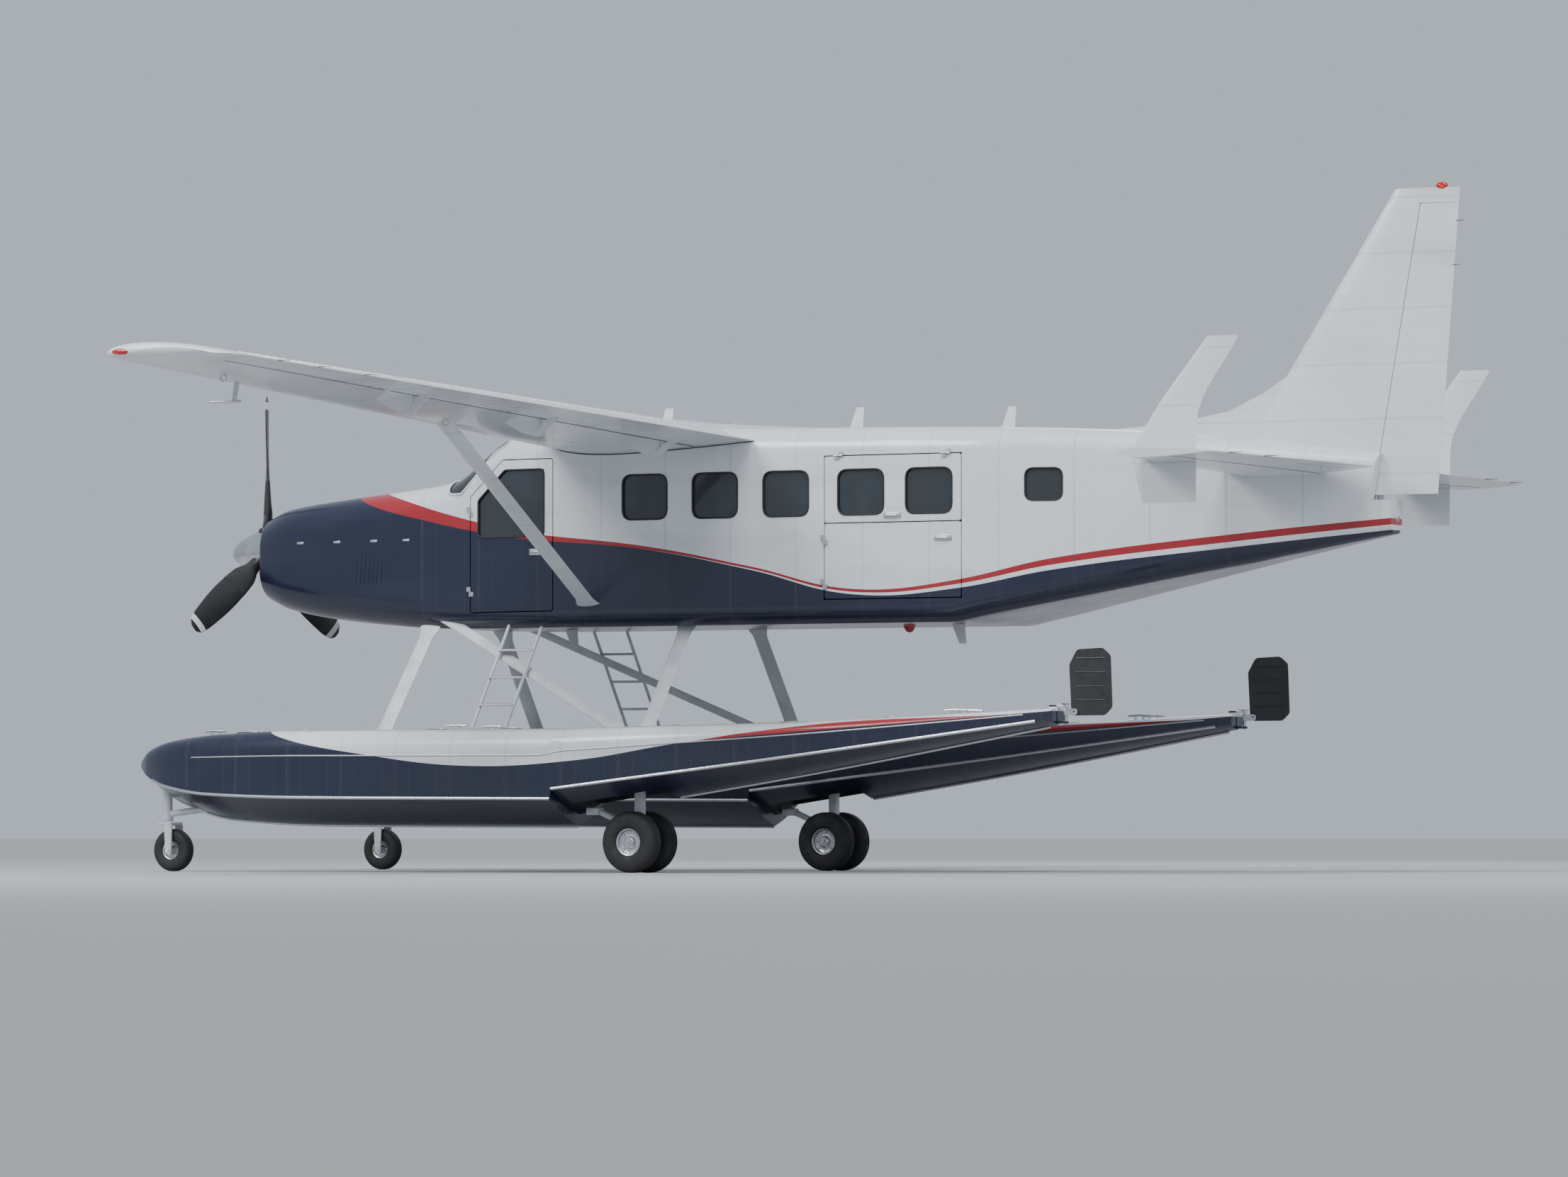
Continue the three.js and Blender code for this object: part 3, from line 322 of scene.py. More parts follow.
# Cuts a tool's mesh out of a piece, or keeps what both share, and drops the tool
def carve(piece, *tools, keep="DIFFERENCE", sharp=32):
    for tool in tools:
        modifier = piece.modifiers.new("carve", "BOOLEAN")
        modifier.operation, modifier.solver, modifier.object = keep, "EXACT", tool
        if tool.data.materials[0]:                 # the cut takes the tool's finish
            modifier.material_mode = "TRANSFER"
    applied(piece)
    for tool in tools:
        bpy.data.meshes.remove(tool.data)
    slim = bmesh.new()
    slim.from_mesh(piece.data)
    bmesh.ops.remove_doubles(slim, verts=slim.verts, dist=1e-5)
    bmesh.ops.dissolve_degenerate(slim, edges=slim.edges, dist=1e-5)
    slim.to_mesh(piece.data)
    slim.free()
    piece.data.shade_smooth()
    piece.data.set_sharp_from_angle(angle=radians(sharp))
    return piece


def toolOf(bm, material=None):
    return finish("tool", bm, material, None)


def joinInto(target, *others):
    for other in others:
        mesh = bpy.data.meshes.new("part")
        other.to_mesh(mesh)
        other.free()
        target.from_mesh(mesh)
        bpy.data.meshes.remove(mesh)


# A grid whose first direction closes round and whose second runs along, with both ends filled
def skinGrid(bm, around, along, at, filled=True):
    made = bmesh.ops.create_grid(bm, x_segments=around, y_segments=along, size=0.5)["verts"]
    low = Vector([min(v.co[k] for v in made) for k in (0, 1)])
    size = Vector([max(v.co[k] for v in made) for k in (0, 1)]) - low
    for vert in made:
        column = round((vert.co.x - low.x) / size.x * around) % around
        vert.co = at(column, round((vert.co.y - low.y) / size.y * along))
    bmesh.ops.remove_doubles(bm, verts=made, dist=1e-6)
    if filled:
        rims = [edge for edge in bm.edges if edge.is_boundary]
        bmesh.ops.holes_fill(bm, edges=rims, sides=0)


def gridMesh(around, along, at):
    bm = bmesh.new()
    skinGrid(bm, around, along, at)
    return bm


# A box between two corners, with rounded edges when asked
def addBox(bm, low, high, bevel=0):
    centre, size = (Vector(low) + Vector(high)) / 2, Vector(high) - Vector(low)
    shape = Matrix.Translation(centre) @ Matrix.Diagonal((*map(abs, size), 1))
    made = bmesh.ops.create_cube(bm, size=1, matrix=shape)["verts"]
    if bevel:
        edges = {edge for vert in made for edge in vert.link_edges}
        bmesh.ops.bevel(bm, geom=list(edges), offset=bevel, segments=2, affect="EDGES", profile=0.5,
                        material=-1)


# A flat outline drawn out by a shift
def addPrism(bm, corners, shift):
    face = bm.faces.new([bm.verts.new(corner) for corner in corners])
    drawn = bmesh.ops.extrude_face_region(bm, geom=[face])["geom"]
    ends = [part for part in drawn if isinstance(part, bmesh.types.BMVert)]
    bmesh.ops.translate(bm, verts=ends, vec=shift)


# A plate of an outline in aft and up, between two values of y
def addPlate(bm, outline, low, high):
    addPrism(bm, [spot(aft, low, up) for aft, up in outline], (0, high - low, 0))


# A round rod from one point to another, with its two radii
def addRod(bm, start, end, radius, tip=None, segments=20):
    middle, along = (start + end) / 2, end - start
    turn = along.to_track_quat("Z", "X").to_matrix().to_4x4()
    bmesh.ops.create_cone(bm, cap_ends=True, segments=segments, radius1=radius,
                          radius2=radius if tip is None else tip, depth=along.length,
                          matrix=Matrix.Translation(middle) @ turn)


def addBall(bm, centre, radius, scale=(1, 1, 1), segments=20):
    shape = Matrix.Translation(centre) @ Matrix.Diagonal((*scale, 1))
    bmesh.ops.create_uvsphere(bm, u_segments=segments, v_segments=segments // 2, radius=radius,
                              matrix=shape)


# A turned shape: a profile of distance along the axis and radius, spun about it from a centre
def addTurned(bm, centre, axis, profile, steps):
    axis = Vector(axis).normalized()
    arm = Vector((0, 0, 1)) if abs(axis.z) < 0.9 else Vector((1, 0, 0))
    points = [bm.verts.new(centre + axis * along + arm * radius) for along, radius in profile]
    edges = [bm.edges.new(pair) for pair in zip(points, points[1:])]
    bmesh.ops.spin(bm, geom=points + edges, cent=centre, axis=axis, angle=tau, steps=steps,
                   use_merge=True)
    bmesh.ops.remove_doubles(bm, verts=bm.verts, dist=1e-5)


# A round tube through points, open where it meets itself again when it is a loop
def addTube(bm, points, radius, steps, level, loop):
    count = len(points)

    def at(column, row):
        here = points[row % count]
        ahead = points[(row + 1) % count if loop else min(row + 1, count - 1)]
        behind = points[row - 1 if loop else max(row - 1, 0)]
        along = (ahead - behind).normalized()
        across = along.cross(Vector(level)).normalized()
        over = across.cross(along)
        turn = tau * column / steps
        return here + radius * (across * cos(turn) + over * sin(turn))
    skinGrid(bm, steps, count if loop else count - 1, at, filled=not loop)


def addStrip(bm, points, radius, steps=8):
    addTube(bm, points, radius, steps, (0, 0, 1), False)


def addLoopStrip(bm, points, radius):
    addTube(bm, points, radius, 8, (0, 1, 0.3), True)


# Smooth values between the rows of a table, without overshoot
def tableAt(table, place):
    rows = len(table)
    index = min(max(sum(row[0] <= place for row in table) - 1, 0), rows - 2)
    first, second = table[index], table[index + 1]
    span = second[0] - first[0]
    t = min(max((place - first[0]) / span, 0), 1)

    def slope(k, column):
        if k <= 0 or k >= rows - 1:
            near = (0, 1) if k <= 0 else (rows - 2, rows - 1)
            a, b = table[near[0]], table[near[1]]
            return (b[column] - a[column]) / (b[0] - a[0])
        before = (table[k][column] - table[k - 1][column]) / (table[k][0] - table[k - 1][0])
        after = (table[k + 1][column] - table[k][column]) / (table[k + 1][0] - table[k][0])
        return 2 * before * after / (before + after) if before * after > 0 else 0

    def value(column):
        a, b = first[column], second[column]
        m, n = slope(index, column) * span, slope(index + 1, column) * span
        return (a * (2 * t**3 - 3 * t**2 + 1) + m * (t**3 - 2 * t**2 + t)
                + b * (3 * t**2 - 2 * t**3) + n * (t**3 - t**2))

    return [value(column) for column in range(1, len(first))]


# Fuselage: sections of aft, half width, top, low, and the radii of the upper and lower corners
fuselage = dict(
    sections=[
        (0.45, 0.33, 0.28, -0.4, 0.25, 0.23), (0.7, 0.405, 0.365, -0.5, 0.27, 0.26),
        (1.3, 0.5, 0.43, -0.6, 0.26, 0.25), (2.235, 0.64, 0.51, -0.68, 0.23, 0.21),
        (2.5, 0.69, 0.545, -0.69, 0.22, 0.19), (3.2, 0.795, 0.925, -0.7, 0.215, 0.16),
        (3.6, 0.832, 0.955, -0.7, 0.205, 0.15), (5.6, 0.835, 0.918, -0.7, 0.2, 0.15),
        (7.3, 0.835, 0.885, -0.7, 0.19, 0.15), (7.5, 0.83, 0.879, -0.665, 0.188, 0.155),
        (8.5, 0.64, 0.845, -0.48, 0.185, 0.17), (9.7, 0.38, 0.745, -0.255, 0.18, 0.18),
        (10.9, 0.11, 0.6, -0.03, 0.095, 0.095),
    ],
    arc=12, flat=6, spacing=0.07, wall=0.06, floor=0.08,
    firewall=2.235, bulkhead=8.5, end=10.9, seam=0.0003,
)
around = 4 * (fuselage["arc"] + fuselage["flat"])


def bodyRow(aft):
    return tableAt(fuselage["sections"], aft)


def bodyPoint(column, aft, grow=0, floor=0):
    half, top, low, upper, lower = bodyRow(aft)
    half, top, low, upper, lower = half + grow, top + grow, low - grow + floor, upper + grow, lower + grow
    turn = fuselage["arc"] + fuselage["flat"]

    def corner(quarter, step):
        quarter %= 4
        radius = upper if quarter < 2 else lower
        angle = (quarter + step / fuselage["arc"]) * pi / 2
        y = (half - radius) * (1 if quarter in (0, 3) else -1)
        up = top - radius if quarter < 2 else low + radius
        return Vector((0, y + radius * cos(angle), up + radius * sin(angle)))
    quarter, step = column // turn, column % turn
    if step <= fuselage["arc"]:
        at = corner(quarter, step)
    else:
        share = (step - fuselage["arc"]) / fuselage["flat"]
        at = corner(quarter, fuselage["arc"]).lerp(corner(quarter + 1, 0), share)
    return spot(aft, at.y, at.z)


def bodyMesh(start, end, grow=0, floor=0, spacing=fuselage["spacing"]):
    count = max(1, round((end - start) / spacing))
    return gridMesh(around, count, lambda i, k: bodyPoint(i, start + (end - start) * k / count, grow, floor))


# Points on the skin: from a height on one side, or from a distance off the middle on the roof
def skinSide(aft, side, up, grow=0):
    half, top, low, upper, lower = bodyRow(aft)
    y = half
    if up > top - upper:
        y = half - upper + sqrt(max(upper**2 - (up - top + upper) ** 2, 0))
    if up < low + lower:
        y = half - lower + sqrt(max(lower**2 - (low + lower - up) ** 2, 0))
    return spot(aft, side * (y + grow), up)


def skinTop(aft, y, grow):
    half, top, _, upper, _ = bodyRow(aft)
    past = max(abs(y) - (half - upper), 0)
    return spot(aft, y, top - upper + sqrt(max(upper**2 - past**2, 0)) + grow)


def prismTool(outline, low, high):
    bm = bmesh.new()
    addPlate(bm, outline, low, high)
    return toolOf(bm)


def reachOf(side):
    return (0, 1) if side > 0 else (-1, 0)


def throughSide(outline, side):
    return prismTool(outline, *reachOf(side))


# Outline helpers: moving every side outward, and rounding every corner
def grown(outline, by):
    points = [Vector(p) for p in outline]
    area = sum(p.cross(q) for p, q in zip(points, points[1:] + points[:1]))
    sense = 1 if area > 0 else -1
    lines = []
    for p, q in zip(points, points[1:] + points[:1]):
        normal = Vector(((q - p).y, -(q - p).x)).normalized() * sense
        lines.append((normal, normal.dot(p) + by))
    moved = []
    for (a, da), (b, db) in zip(lines[-1:] + lines[:-1], lines):
        det = a.x * b.y - a.y * b.x
        moved.append(((da * b.y - db * a.y) / det, (a.x * db - b.x * da) / det))
    return moved


def rounded(outline, radius, steps=6):
    points = [Vector(p) for p in outline]
    made = []
    for before, here, after in zip(points[-1:] + points[:-1], points, points[1:] + points[:1]):
        into, out = (before - here).normalized(), (after - here).normalized()
        reach = min(radius / tan(into.angle(out) / 2), (before - here).length * 0.49,
                    (after - here).length * 0.49)
        start, end = here + into * reach, here + out * reach
        for step in range(steps + 1):
            t = step / steps
            made.append(tuple(start * (1 - t) ** 2 + here * 2 * t * (1 - t) + end * t**2))
    return made


def oblong(across, up, width, height, radius):
    w, h = width / 2, height / 2
    return rounded([(across - w, up - h), (across + w, up - h), (across + w, up + h), (across - w, up + h)],
                   radius)


def panelOf(front, back, low, high):
    return [(front, low), (back, low), (back, high), (front, high)]


# Lifting surfaces: span, leading edge, chord, height, droop to the back, thickness, camber, hinge share
surfaces = dict(
    wing=[(0.7, 3.556, 1.981, 0.885, 0.08, 0.17, 0.018, 0.74),
          (7.79, 3.8, 1.219, 1.18, 0.045, 0.12, 0.018, 0.74)],
    stabilizer=[(0, 9.53, 1.32, 0.5, 0, 0.1, 0, 0.84 / 1.32),
                (3.125, 9.92, 0.79, 0.5, 0, 0.09, 0, 0.45 / 0.79)],
    fin=[(0.3, 9.33, 1.93, 0, 0, 0.065, 0, 0.7275),
         (2.72, 10.895, 0.56, 0, 0, 0.1, 0, 0.4732)],
)
panels = dict(
    flap=(0.86, 5.36), aileron=(5.45, 7.6), elevator=(0.27, 3.05), rudder=(0.285, 2.594),
    chordSteps=26, noseSteps=10, backSteps=6, spanStep=0.31, gap=0.006, flapGap=0.016,
    bayPast=0.12, bayTall=0.2,
)


def foilPoint(row, share, side):
    _, le, chord, up, drop, thick, camber, _ = row
    form = (0.2969 * sqrt(share) - 0.126 * share - 0.3516 * share**2 + 0.2843 * share**3
            - 0.1015 * share**4)
    rise = camber * 4 * share * (1 - share) + side * 5 * thick * form
    return Vector((le + share * chord, up - share * drop + rise * chord))


# A surface's section at a span: its points, and its hinge's share, pivot and radius
def sectionAt(surface, span):
    root, tip = surfaces[surface]
    t = (span - root[0]) / (tip[0] - root[0])

    def point(share, side):
        return foilPoint(root, share[0], side).lerp(foilPoint(tip, share[1], side), t)

    hinge = (root[7], tip[7])
    above, below = point(hinge, 1), point(hinge, -1)
    radius = (above.y - below.y) / 2
    return point, hinge, Vector((above.x, below.y + radius)), radius


def foilSpot(surface, span, share, face):
    return sectionAt(surface, span)[0]((share, share), face)


def chordShares():
    count = panels["chordSteps"]
    return [0.5 * (1 + cos(pi * k / count)) for k in range(count + 1)]


def wholeShape(surface, span):
    point, shares = sectionAt(surface, span)[0], chordShares()
    return [point((s, s), 1) for s in shares] + [point((s, s), -1) for s in reversed(shares[:-1])]


def noseArc(pivot, radius, by):
    count = panels["noseSteps"]
    angles = [pi / 2 + pi * k / count for k in range(count + 1)]
    return [pivot + (radius + by) * Vector((cos(a), sin(a))) for a in angles]


def movingShape(surface, span):
    point, hinge, pivot, radius = sectionAt(surface, span)
    count = panels["backSteps"]
    back = [tuple(1 + (h - 1) * k / count for h in hinge) for k in range(count)]
    return [point(s, 1) for s in back] + noseArc(pivot, radius, 0) + [point(s, -1) for s in reversed(back)]


# The room that a moving surface needs, with a gap round its nose
def bayShape(surface, span):
    point, _, pivot, radius = sectionAt(surface, span)
    far, tall = point((1, 1), 1).x + panels["bayPast"], radius + panels["bayTall"]
    over = [Vector((far, pivot.y + tall)), Vector((pivot.x, pivot.y + tall))]
    under = [Vector((pivot.x, pivot.y - tall)), Vector((far, pivot.y - tall))]
    return over + noseArc(pivot, radius, panels["gap"]) + under


def onWing(side):
    return lambda at, span: spot(at.x, side * span, at.y)


def onFin(at, span):
    return spot(at.x, at.y, span)


def pivotAt(surface, span, placing):
    return placing(sectionAt(surface, span)[2], span)


def surfaceMesh(surface, spans, shape, placing):
    rings = [shape(surface, span) for span in spans]
    return gridMesh(len(rings[0]), len(spans) - 1, lambda i, k: placing(rings[k][i], spans[k]))


def stationsOf(start, end, spacing=panels["spanStep"]):
    count = max(1, round(abs(end - start) / spacing))
    return [start + (end - start) * k / count for k in range(count + 1)]


# The tool that clears a moving surface's room, from a span to just past its end
def bayTool(surface, low, high, placing):
    return toolOf(surfaceMesh(surface, [low, 1, 2, high + panels["gap"]], bayShape, placing))


tipShape = dict(le=0.42, te=0.2, steps=9, lift=0.02, power=1.4, edge=0.02)


# A rounded end beyond a surface's last section, its chord and thickness running out in an arc
def tipMesh(surface, start, end, placing):
    point, shares = sectionAt(surface, start)[0], chordShares()
    front, back = point((0, 0), 1).x, point((1, 1), 1).x
    rings = []
    for k in range(tipShape["steps"] + 1):
        angle = pi / 2 * k / tipShape["steps"]
        span = start + (end - start) * sin(angle)
        fade = max(cos(angle), tipShape["edge"])
        run = (1 - fade) ** tipShape["power"]
        low, high = tipShape["le"] * run, 1 - tipShape["te"] * run
        ring = []
        for side, line in ((1, shares), (-1, shares[-2::-1])):
            for s in line:
                upper, lower = point((s, s), 1), point((s, s), -1)
                x = front + (back - front) * (low + (high - low) * s)
                middle, half = (upper + lower) / 2, (upper.y - lower.y) / 2 * fade
                ring.append((Vector((x, middle.y + side * half + tipShape["lift"] * (1 - fade))), span))
        rings.append(ring)
    return gridMesh(len(rings[0]), len(rings) - 1, lambda i, k: placing(*rings[k][i]))


print("helpers ready")


# Cowling: outer skin with a rounded nose bowl, and its air inlets
cowling = dict(
    front=0.45, lip=0.035, wall=0.022, rows=36, bowlRows=8, past=0.01, sharp=40,
    inlet=dict(up=-0.29, width=0.38, height=0.11),
    ears=dict(y=0.235, up=0.045, width=0.085, height=0.17),
    mouth=dict(round=0.49, ahead=0.05, depth=0.2),
    rim=dict(back=0.004, radius=0.014, steps=10),
    screens=[((0.66, -0.22, -0.375), (0.5, 0.22, -0.205)), ((0.6, -0.3, -0.05), (0.52, 0.3, 0.14))],
    screenBevel=0.02,
)


def cowlAt(column, row):
    lip, front, bowl = cowling["lip"], cowling["front"], cowling["bowlRows"]
    if row < bowl:                                 # the bowl's lip turns in to the flat front
        angle = pi / 2 * (1 - row / bowl)
        return bodyPoint(column, front + lip * (1 - sin(angle)), -lip * (1 - cos(angle)))
    back = fuselage["firewall"] - fuselage["seam"]
    return bodyPoint(column, front + lip + (back - front - lip) * (row - bowl) / (cowling["rows"] - bowl))


# A hole of y and up in the cowl's front: its tool and its outline
def mouthTool(y, up, width, height):
    mouth = cowling["mouth"]
    bm = bmesh.new()
    corners = oblong(y, up, width, height, min(width, height) * mouth["round"])
    ahead = cowling["front"] - mouth["ahead"]
    addPrism(bm, [spot(ahead, *corner) for corner in corners], (-mouth["depth"], 0, 0))
    return toolOf(bm), corners


# A rolled lip round an outline of y and up on the cowl's front
def addLip(bm, corners):
    rim, forward = cowling["rim"], Vector((1, 0, 0))
    ring = [spot(cowling["front"] + rim["back"], y, up) for y, up in corners]
    centre = sum(ring, Vector()) / len(ring)

    def at(column, row):
        here = ring[row % len(ring)]
        out = (ring[(row + 1) % len(ring)] - ring[row - 1]).cross(forward).normalized()
        if out.dot(here - centre) < 0:
            out = -out
        turn = tau * column / rim["steps"]
        return here + rim["radius"] * (out * cos(turn) + forward * sin(turn))
    skinGrid(bm, rim["steps"], len(ring), at, filled=False)


cowl = finish("cowling_skin", gridMesh(around, cowling["rows"], cowlAt), cowlPaint,
              nodes=["engine_cowling"], sharp=cowling["sharp"])
carve(cowl, toolOf(bodyMesh(cowling["front"] + cowling["wall"], fuselage["firewall"] + cowling["past"],
                            -cowling["wall"])), sharp=cowling["sharp"])
inlet, ear = cowling["inlet"], cowling["ears"]
mouths = [mouthTool(0, inlet["up"], inlet["width"], inlet["height"])]
mouths += [mouthTool(side * ear["y"], ear["up"], ear["width"], ear["height"]) for _, side in sides]
carve(cowl, *[tool for tool, _ in mouths], sharp=cowling["sharp"])
lips, screens = bmesh.new(), bmesh.new()
for _, corners in mouths:
    addLip(lips, corners)
finish("inlet_lips", lips, bareAlloy, sharp=60, slot="polished_metal")
for low, high in cowling["screens"]:
    addBox(screens, spot(*low), spot(*high), cowling["screenBevel"])
finish("inlet_screens", screens, darkMetal)
print("cowling ready")


# Cabin: a hollow shell with its doors and windows cut from the same skin
cabin = dict(
    window=dict(up=0.365, width=0.42, height=0.37, radius=0.085),
    rear=dict(across=8.13, up=0.4, width=0.3, height=0.26, radius=0.07),
    fixed=[4.52, 5.18, 5.84],
    crewDoor=[(2.8, -0.56), (3.64, -0.56), (3.64, 0.7), (3.14, 0.7), (2.8, 0.4)],
    crewWindow=[(2.88, 0.06), (3.56, 0.06), (3.56, 0.62), (3.16, 0.62), (2.88, 0.37)],
    cargo=(6.2, 7.44), airstair=(6.45, 7.25), low=-0.5, split=0.115, top=0.66,
    windscreen=[(2.53, 0.43), (2.53, 1.1), (3.185, 1.1), (3.185, 0.85), (3.04, 0.77),
                (2.7, 0.43)],
    screenRadius=0.075, doorGap=0.009, frameRadius=0.03, doorRadius=0.02, rootFit=0.002,
    innerSpacing=0.2, past=0.1,
)
halfGap = cabin["doorGap"] / 2


def sideWindow(aft):
    return oblong(aft, **cabin["window"])


def hullPiece(name, body, nodes, start=fuselage["firewall"], end=fuselage["bulkhead"]):
    piece = finish(name, bodyMesh(start, end), bodyPaint, body, nodes)
    wall, past = fuselage["wall"], cabin["past"]
    inner = bodyMesh(start + wall if start == fuselage["firewall"] else start - past,
                     end - wall if end == fuselage["bulkhead"] else end + past,
                     -wall, fuselage["floor"] - wall, cabin["innerSpacing"])
    return carve(piece, toolOf(inner, trimGrey))


def halves(ends, *windows):
    return [("upper", panelOf(*ends, cabin["split"] + halfGap, cabin["top"]), list(map(sideWindow, windows))),
            ("lower", panelOf(*ends, cabin["low"], cabin["split"] - halfGap), [])]


doorTable = [(f"crew_door_{label}", side, cabin["crewDoor"], [cabin["crewWindow"]], 2.6, 3.9)
             for label, side in sides]
doorTable += [(f"cargo_door_{half}", 1, outline, holes, 6, 7.6)
              for half, outline, holes in halves(cabin["cargo"], 6.53, 7.15)]
doorTable += [(f"passenger_door_{half}", -1, outline, holes, 6, 7.6)
              for half, outline, holes in halves(cabin["airstair"], 6.85)]

shell = hullPiece("cabin_skin", airframe, ["cabin_shell"])
rootRing = wholeShape("wing", surfaces["wing"][0][0])
carve(shell, toolOf(gridMesh(len(rootRing), 1, lambda i, k:
                             spot(rootRing[i].x, (-1, 1)[k], rootRing[i].y - cabin["rootFit"]))))
screenOutline = rounded(cabin["windscreen"], cabin["screenRadius"])
rearWindow = oblong(**cabin["rear"])
carve(shell, prismTool(screenOutline, -1, 1))
for _, side in sides:
    carve(shell, *[throughSide(sideWindow(aft), side) for aft in cabin["fixed"]],
          throughSide(rearWindow, side),
          throughSide(rounded(grown(cabin["crewDoor"], cabin["doorGap"]), cabin["frameRadius"]), side))
carve(shell, *[throughSide(grown(panelOf(*cabin[ends], cabin["low"], cabin["top"]), cabin["doorGap"]), side)
               for ends, side in (("cargo", 1), ("airstair", -1))])
for name, side, outline, holes, start, end in doorTable:
    leaf = hullPiece(name + "_skin", name, [name], start, end)
    carve(leaf, throughSide(rounded(outline, cabin["doorRadius"], 3), side), keep="INTERSECT")
    if holes:
        carve(leaf, *[throughSide(hole, side) for hole in holes])
print("cabin skin and doors ready")


# Wing, flaps and ailerons, with the flaps' brackets and the beads pressed into the moving panels
wingDetail = dict(
    tipFit=0.0002, brackets=[1.3, 3.15, 5], drop=0.19, roof=(0.74, 0.022), eye=0.02,
    plates=[(0.02, -0.03, -0.004, -0.031, -0.00045), (0.01, 0.004, 0.026, 0.00045, 0.027)],
    bead=dict(pitch=0.115, radius=0.0045, taper=0.4, shares=(0.1, 0.9)),
)


# A bracket under the wing and the flap's arm, which meet at a pin below the skin
def flapBracket(side, span):
    _, _, pivot, radius = sectionAt("wing", span)
    aft, up = pivot.x - radius, pivot.y - wingDetail["drop"]
    share, above = wingDetail["roof"]
    roof = foilSpot("wing", span, share, -1).y + above
    fixed = [(aft - 0.33, roof), (aft - 0.008, roof), (aft + 0.017, up + 0.016), (aft + 0.022, up),
             (aft + 0.014, up - 0.018), (aft - 0.016, up - 0.022), (aft - 0.15, up + 0.01),
             (aft - 0.33, roof - 0.035)]
    arm = [(aft - 0.016, up + 0.012), (aft - 0.02, up - 0.006), (aft, up - 0.02), (aft + 0.024, up - 0.008),
           (aft + radius + 0.14, roof - 0.002), (aft + radius + 0.04, roof - 0.002)]
    made = []
    for outline, (corner, low, high, *eye) in zip((fixed, arm), wingDetail["plates"]):
        bm = bmesh.new()
        addPlate(bm, rounded(outline, corner, 3), *sorted((side * (span + low), side * (span + high))))
        addRod(bm, *[spot(aft, side * (span + end), up) for end in eye], wingDetail["eye"])
        made.append(bm)
    return made


root, tip = surfaces["wing"][0][0], surfaces["wing"][1][0]
for label, side in sides:
    placing = onWing(side)
    wingMesh = surfaceMesh("wing", stationsOf(root + fuselage["seam"], tip), wholeShape, placing)
    wing = finish(f"wing_{label}_skin", wingMesh, wingPaint, nodes=[f"wing_{label}"])
    for name, ends in (("flap", panels["flapGap"]), ("aileron", panels["gap"])):
        low, high = panels[name]
        carve(wing, toolOf(surfaceMesh("wing", stationsOf(low - ends, high + ends), bayShape, placing)))
    brackets, arms = bmesh.new(), bmesh.new()
    finish(f"wing_{label}_tip", tipMesh("wing", tip - wingDetail["tipFit"], halfSpan, placing),
           wingPaint)
    for span in wingDetail["brackets"]:
        for target, part in zip((brackets, arms), flapBracket(side, span)):
            joinInto(target, part)
    finish(f"flap_brackets_{label}", brackets, wingPaint)
    finish(f"flap_arms_{label}", arms, wingPaint, f"flap_{label}")
    for name in ("flap", "aileron"):
        body = f"{name}_{label}"
        panel = surfaceMesh("wing", stationsOf(*panels[name]), movingShape, placing)
        finish(body + "_skin", panel, wingPaint, body, [body])
    for name in ("aileron", "flap"):
        bead, beads = wingDetail["bead"], bmesh.new()
        low, high = panels[name]
        count = round((high - low) / bead["pitch"])
        for k in range(1, count):
            span = low + (high - low) * k / count
            point, hinge, _, _ = sectionAt("wing", span)
            for face in (1, -1):
                ends = [point(tuple(h + (1 - h) * t for h in hinge), face) for t in bead["shares"]]
                addRod(beads, *[placing(at, span) for at in ends], bead["radius"],
                       bead["radius"] * bead["taper"], 6)
        finish(f"{name}_{label}_beads", beads, wingPaint, f"{name}_{label}")
centreMesh = gridMesh(len(rootRing), 6,
                      lambda i, k: spot(rootRing[i].x, (k / 3 - 1) * root, rootRing[i].y))
finish("wing_center_skin", centreMesh, wingPaint, nodes=["wing_center"])
print("wing ready")


# Tail: stabilizer with its end fins, elevator, cone, dorsal fillet, fin and rudder
tail = dict(
    rudderFloor=0.24, finFloor=0.2, finFoot=0.56, hollow=(8.4, 9.4, -0.04),
    tube=dict(radius=0.022, room=0.4, past=0.03),
    rod=dict(radius=0.008, below=0.03, above=0.02),
    dorsal=[(8.25, 0.85), (9, 0.905), (9.45, 0.985), (9.76, 1.13), (9.93, 1.24),
            (10.15, 1.24), (10.15, 0.6), (8.25, 0.76)],
    ridge=dict(top=1.24, tall=0.4, half=0.006, spread=0.03),
    finlet=[(0.14, 9.85, 10.3, 0.009), (0.5, 9.765, 10.305, 0.014), (0.76, 9.89, 10.31, 0.014),
            (1.42, 10.4, 10.665, 0.008)],
    finletY=2.5, finletSteps=28, finletRows=24,
)
tailTip = surfaces["stabilizer"][1][0]
stabilizer = surfaceMesh("stabilizer", stationsOf(-tailTip, tailTip),
                         lambda surface, span: wholeShape(surface, abs(span)), onWing(1))
stab = finish("stabilizer_skin", stabilizer, tailplanePaint, nodes=["stabilizer"])
elevator = bmesh.new()
for _, side in sides:
    carve(stab, bayTool("stabilizer", -0.001, panels["elevator"][1], onWing(side)))
    joinInto(elevator,
             surfaceMesh("stabilizer", stationsOf(*panels["elevator"]), movingShape, onWing(side)))
tube, rod, ridge = tail["tube"], tail["rod"], tail["ridge"]
hingeSpot = pivotAt("stabilizer", 0, onWing(1))
tubeReach = Vector((0, panels["elevator"][0] + tube["past"], 0))
addRod(elevator, hingeSpot - tubeReach, hingeSpot + tubeReach, tube["radius"])
finish("elevator_skin", elevator, tailplanePaint, "elevator", ["elevator"])
coneMesh = bodyMesh(fuselage["bulkhead"] + fuselage["seam"], fuselage["end"])
cone = finish("tail_cone_skin", coneMesh, bodyPaint, nodes=["tail_cone"], slot="navy_paint")
tubeBay = bmesh.new()
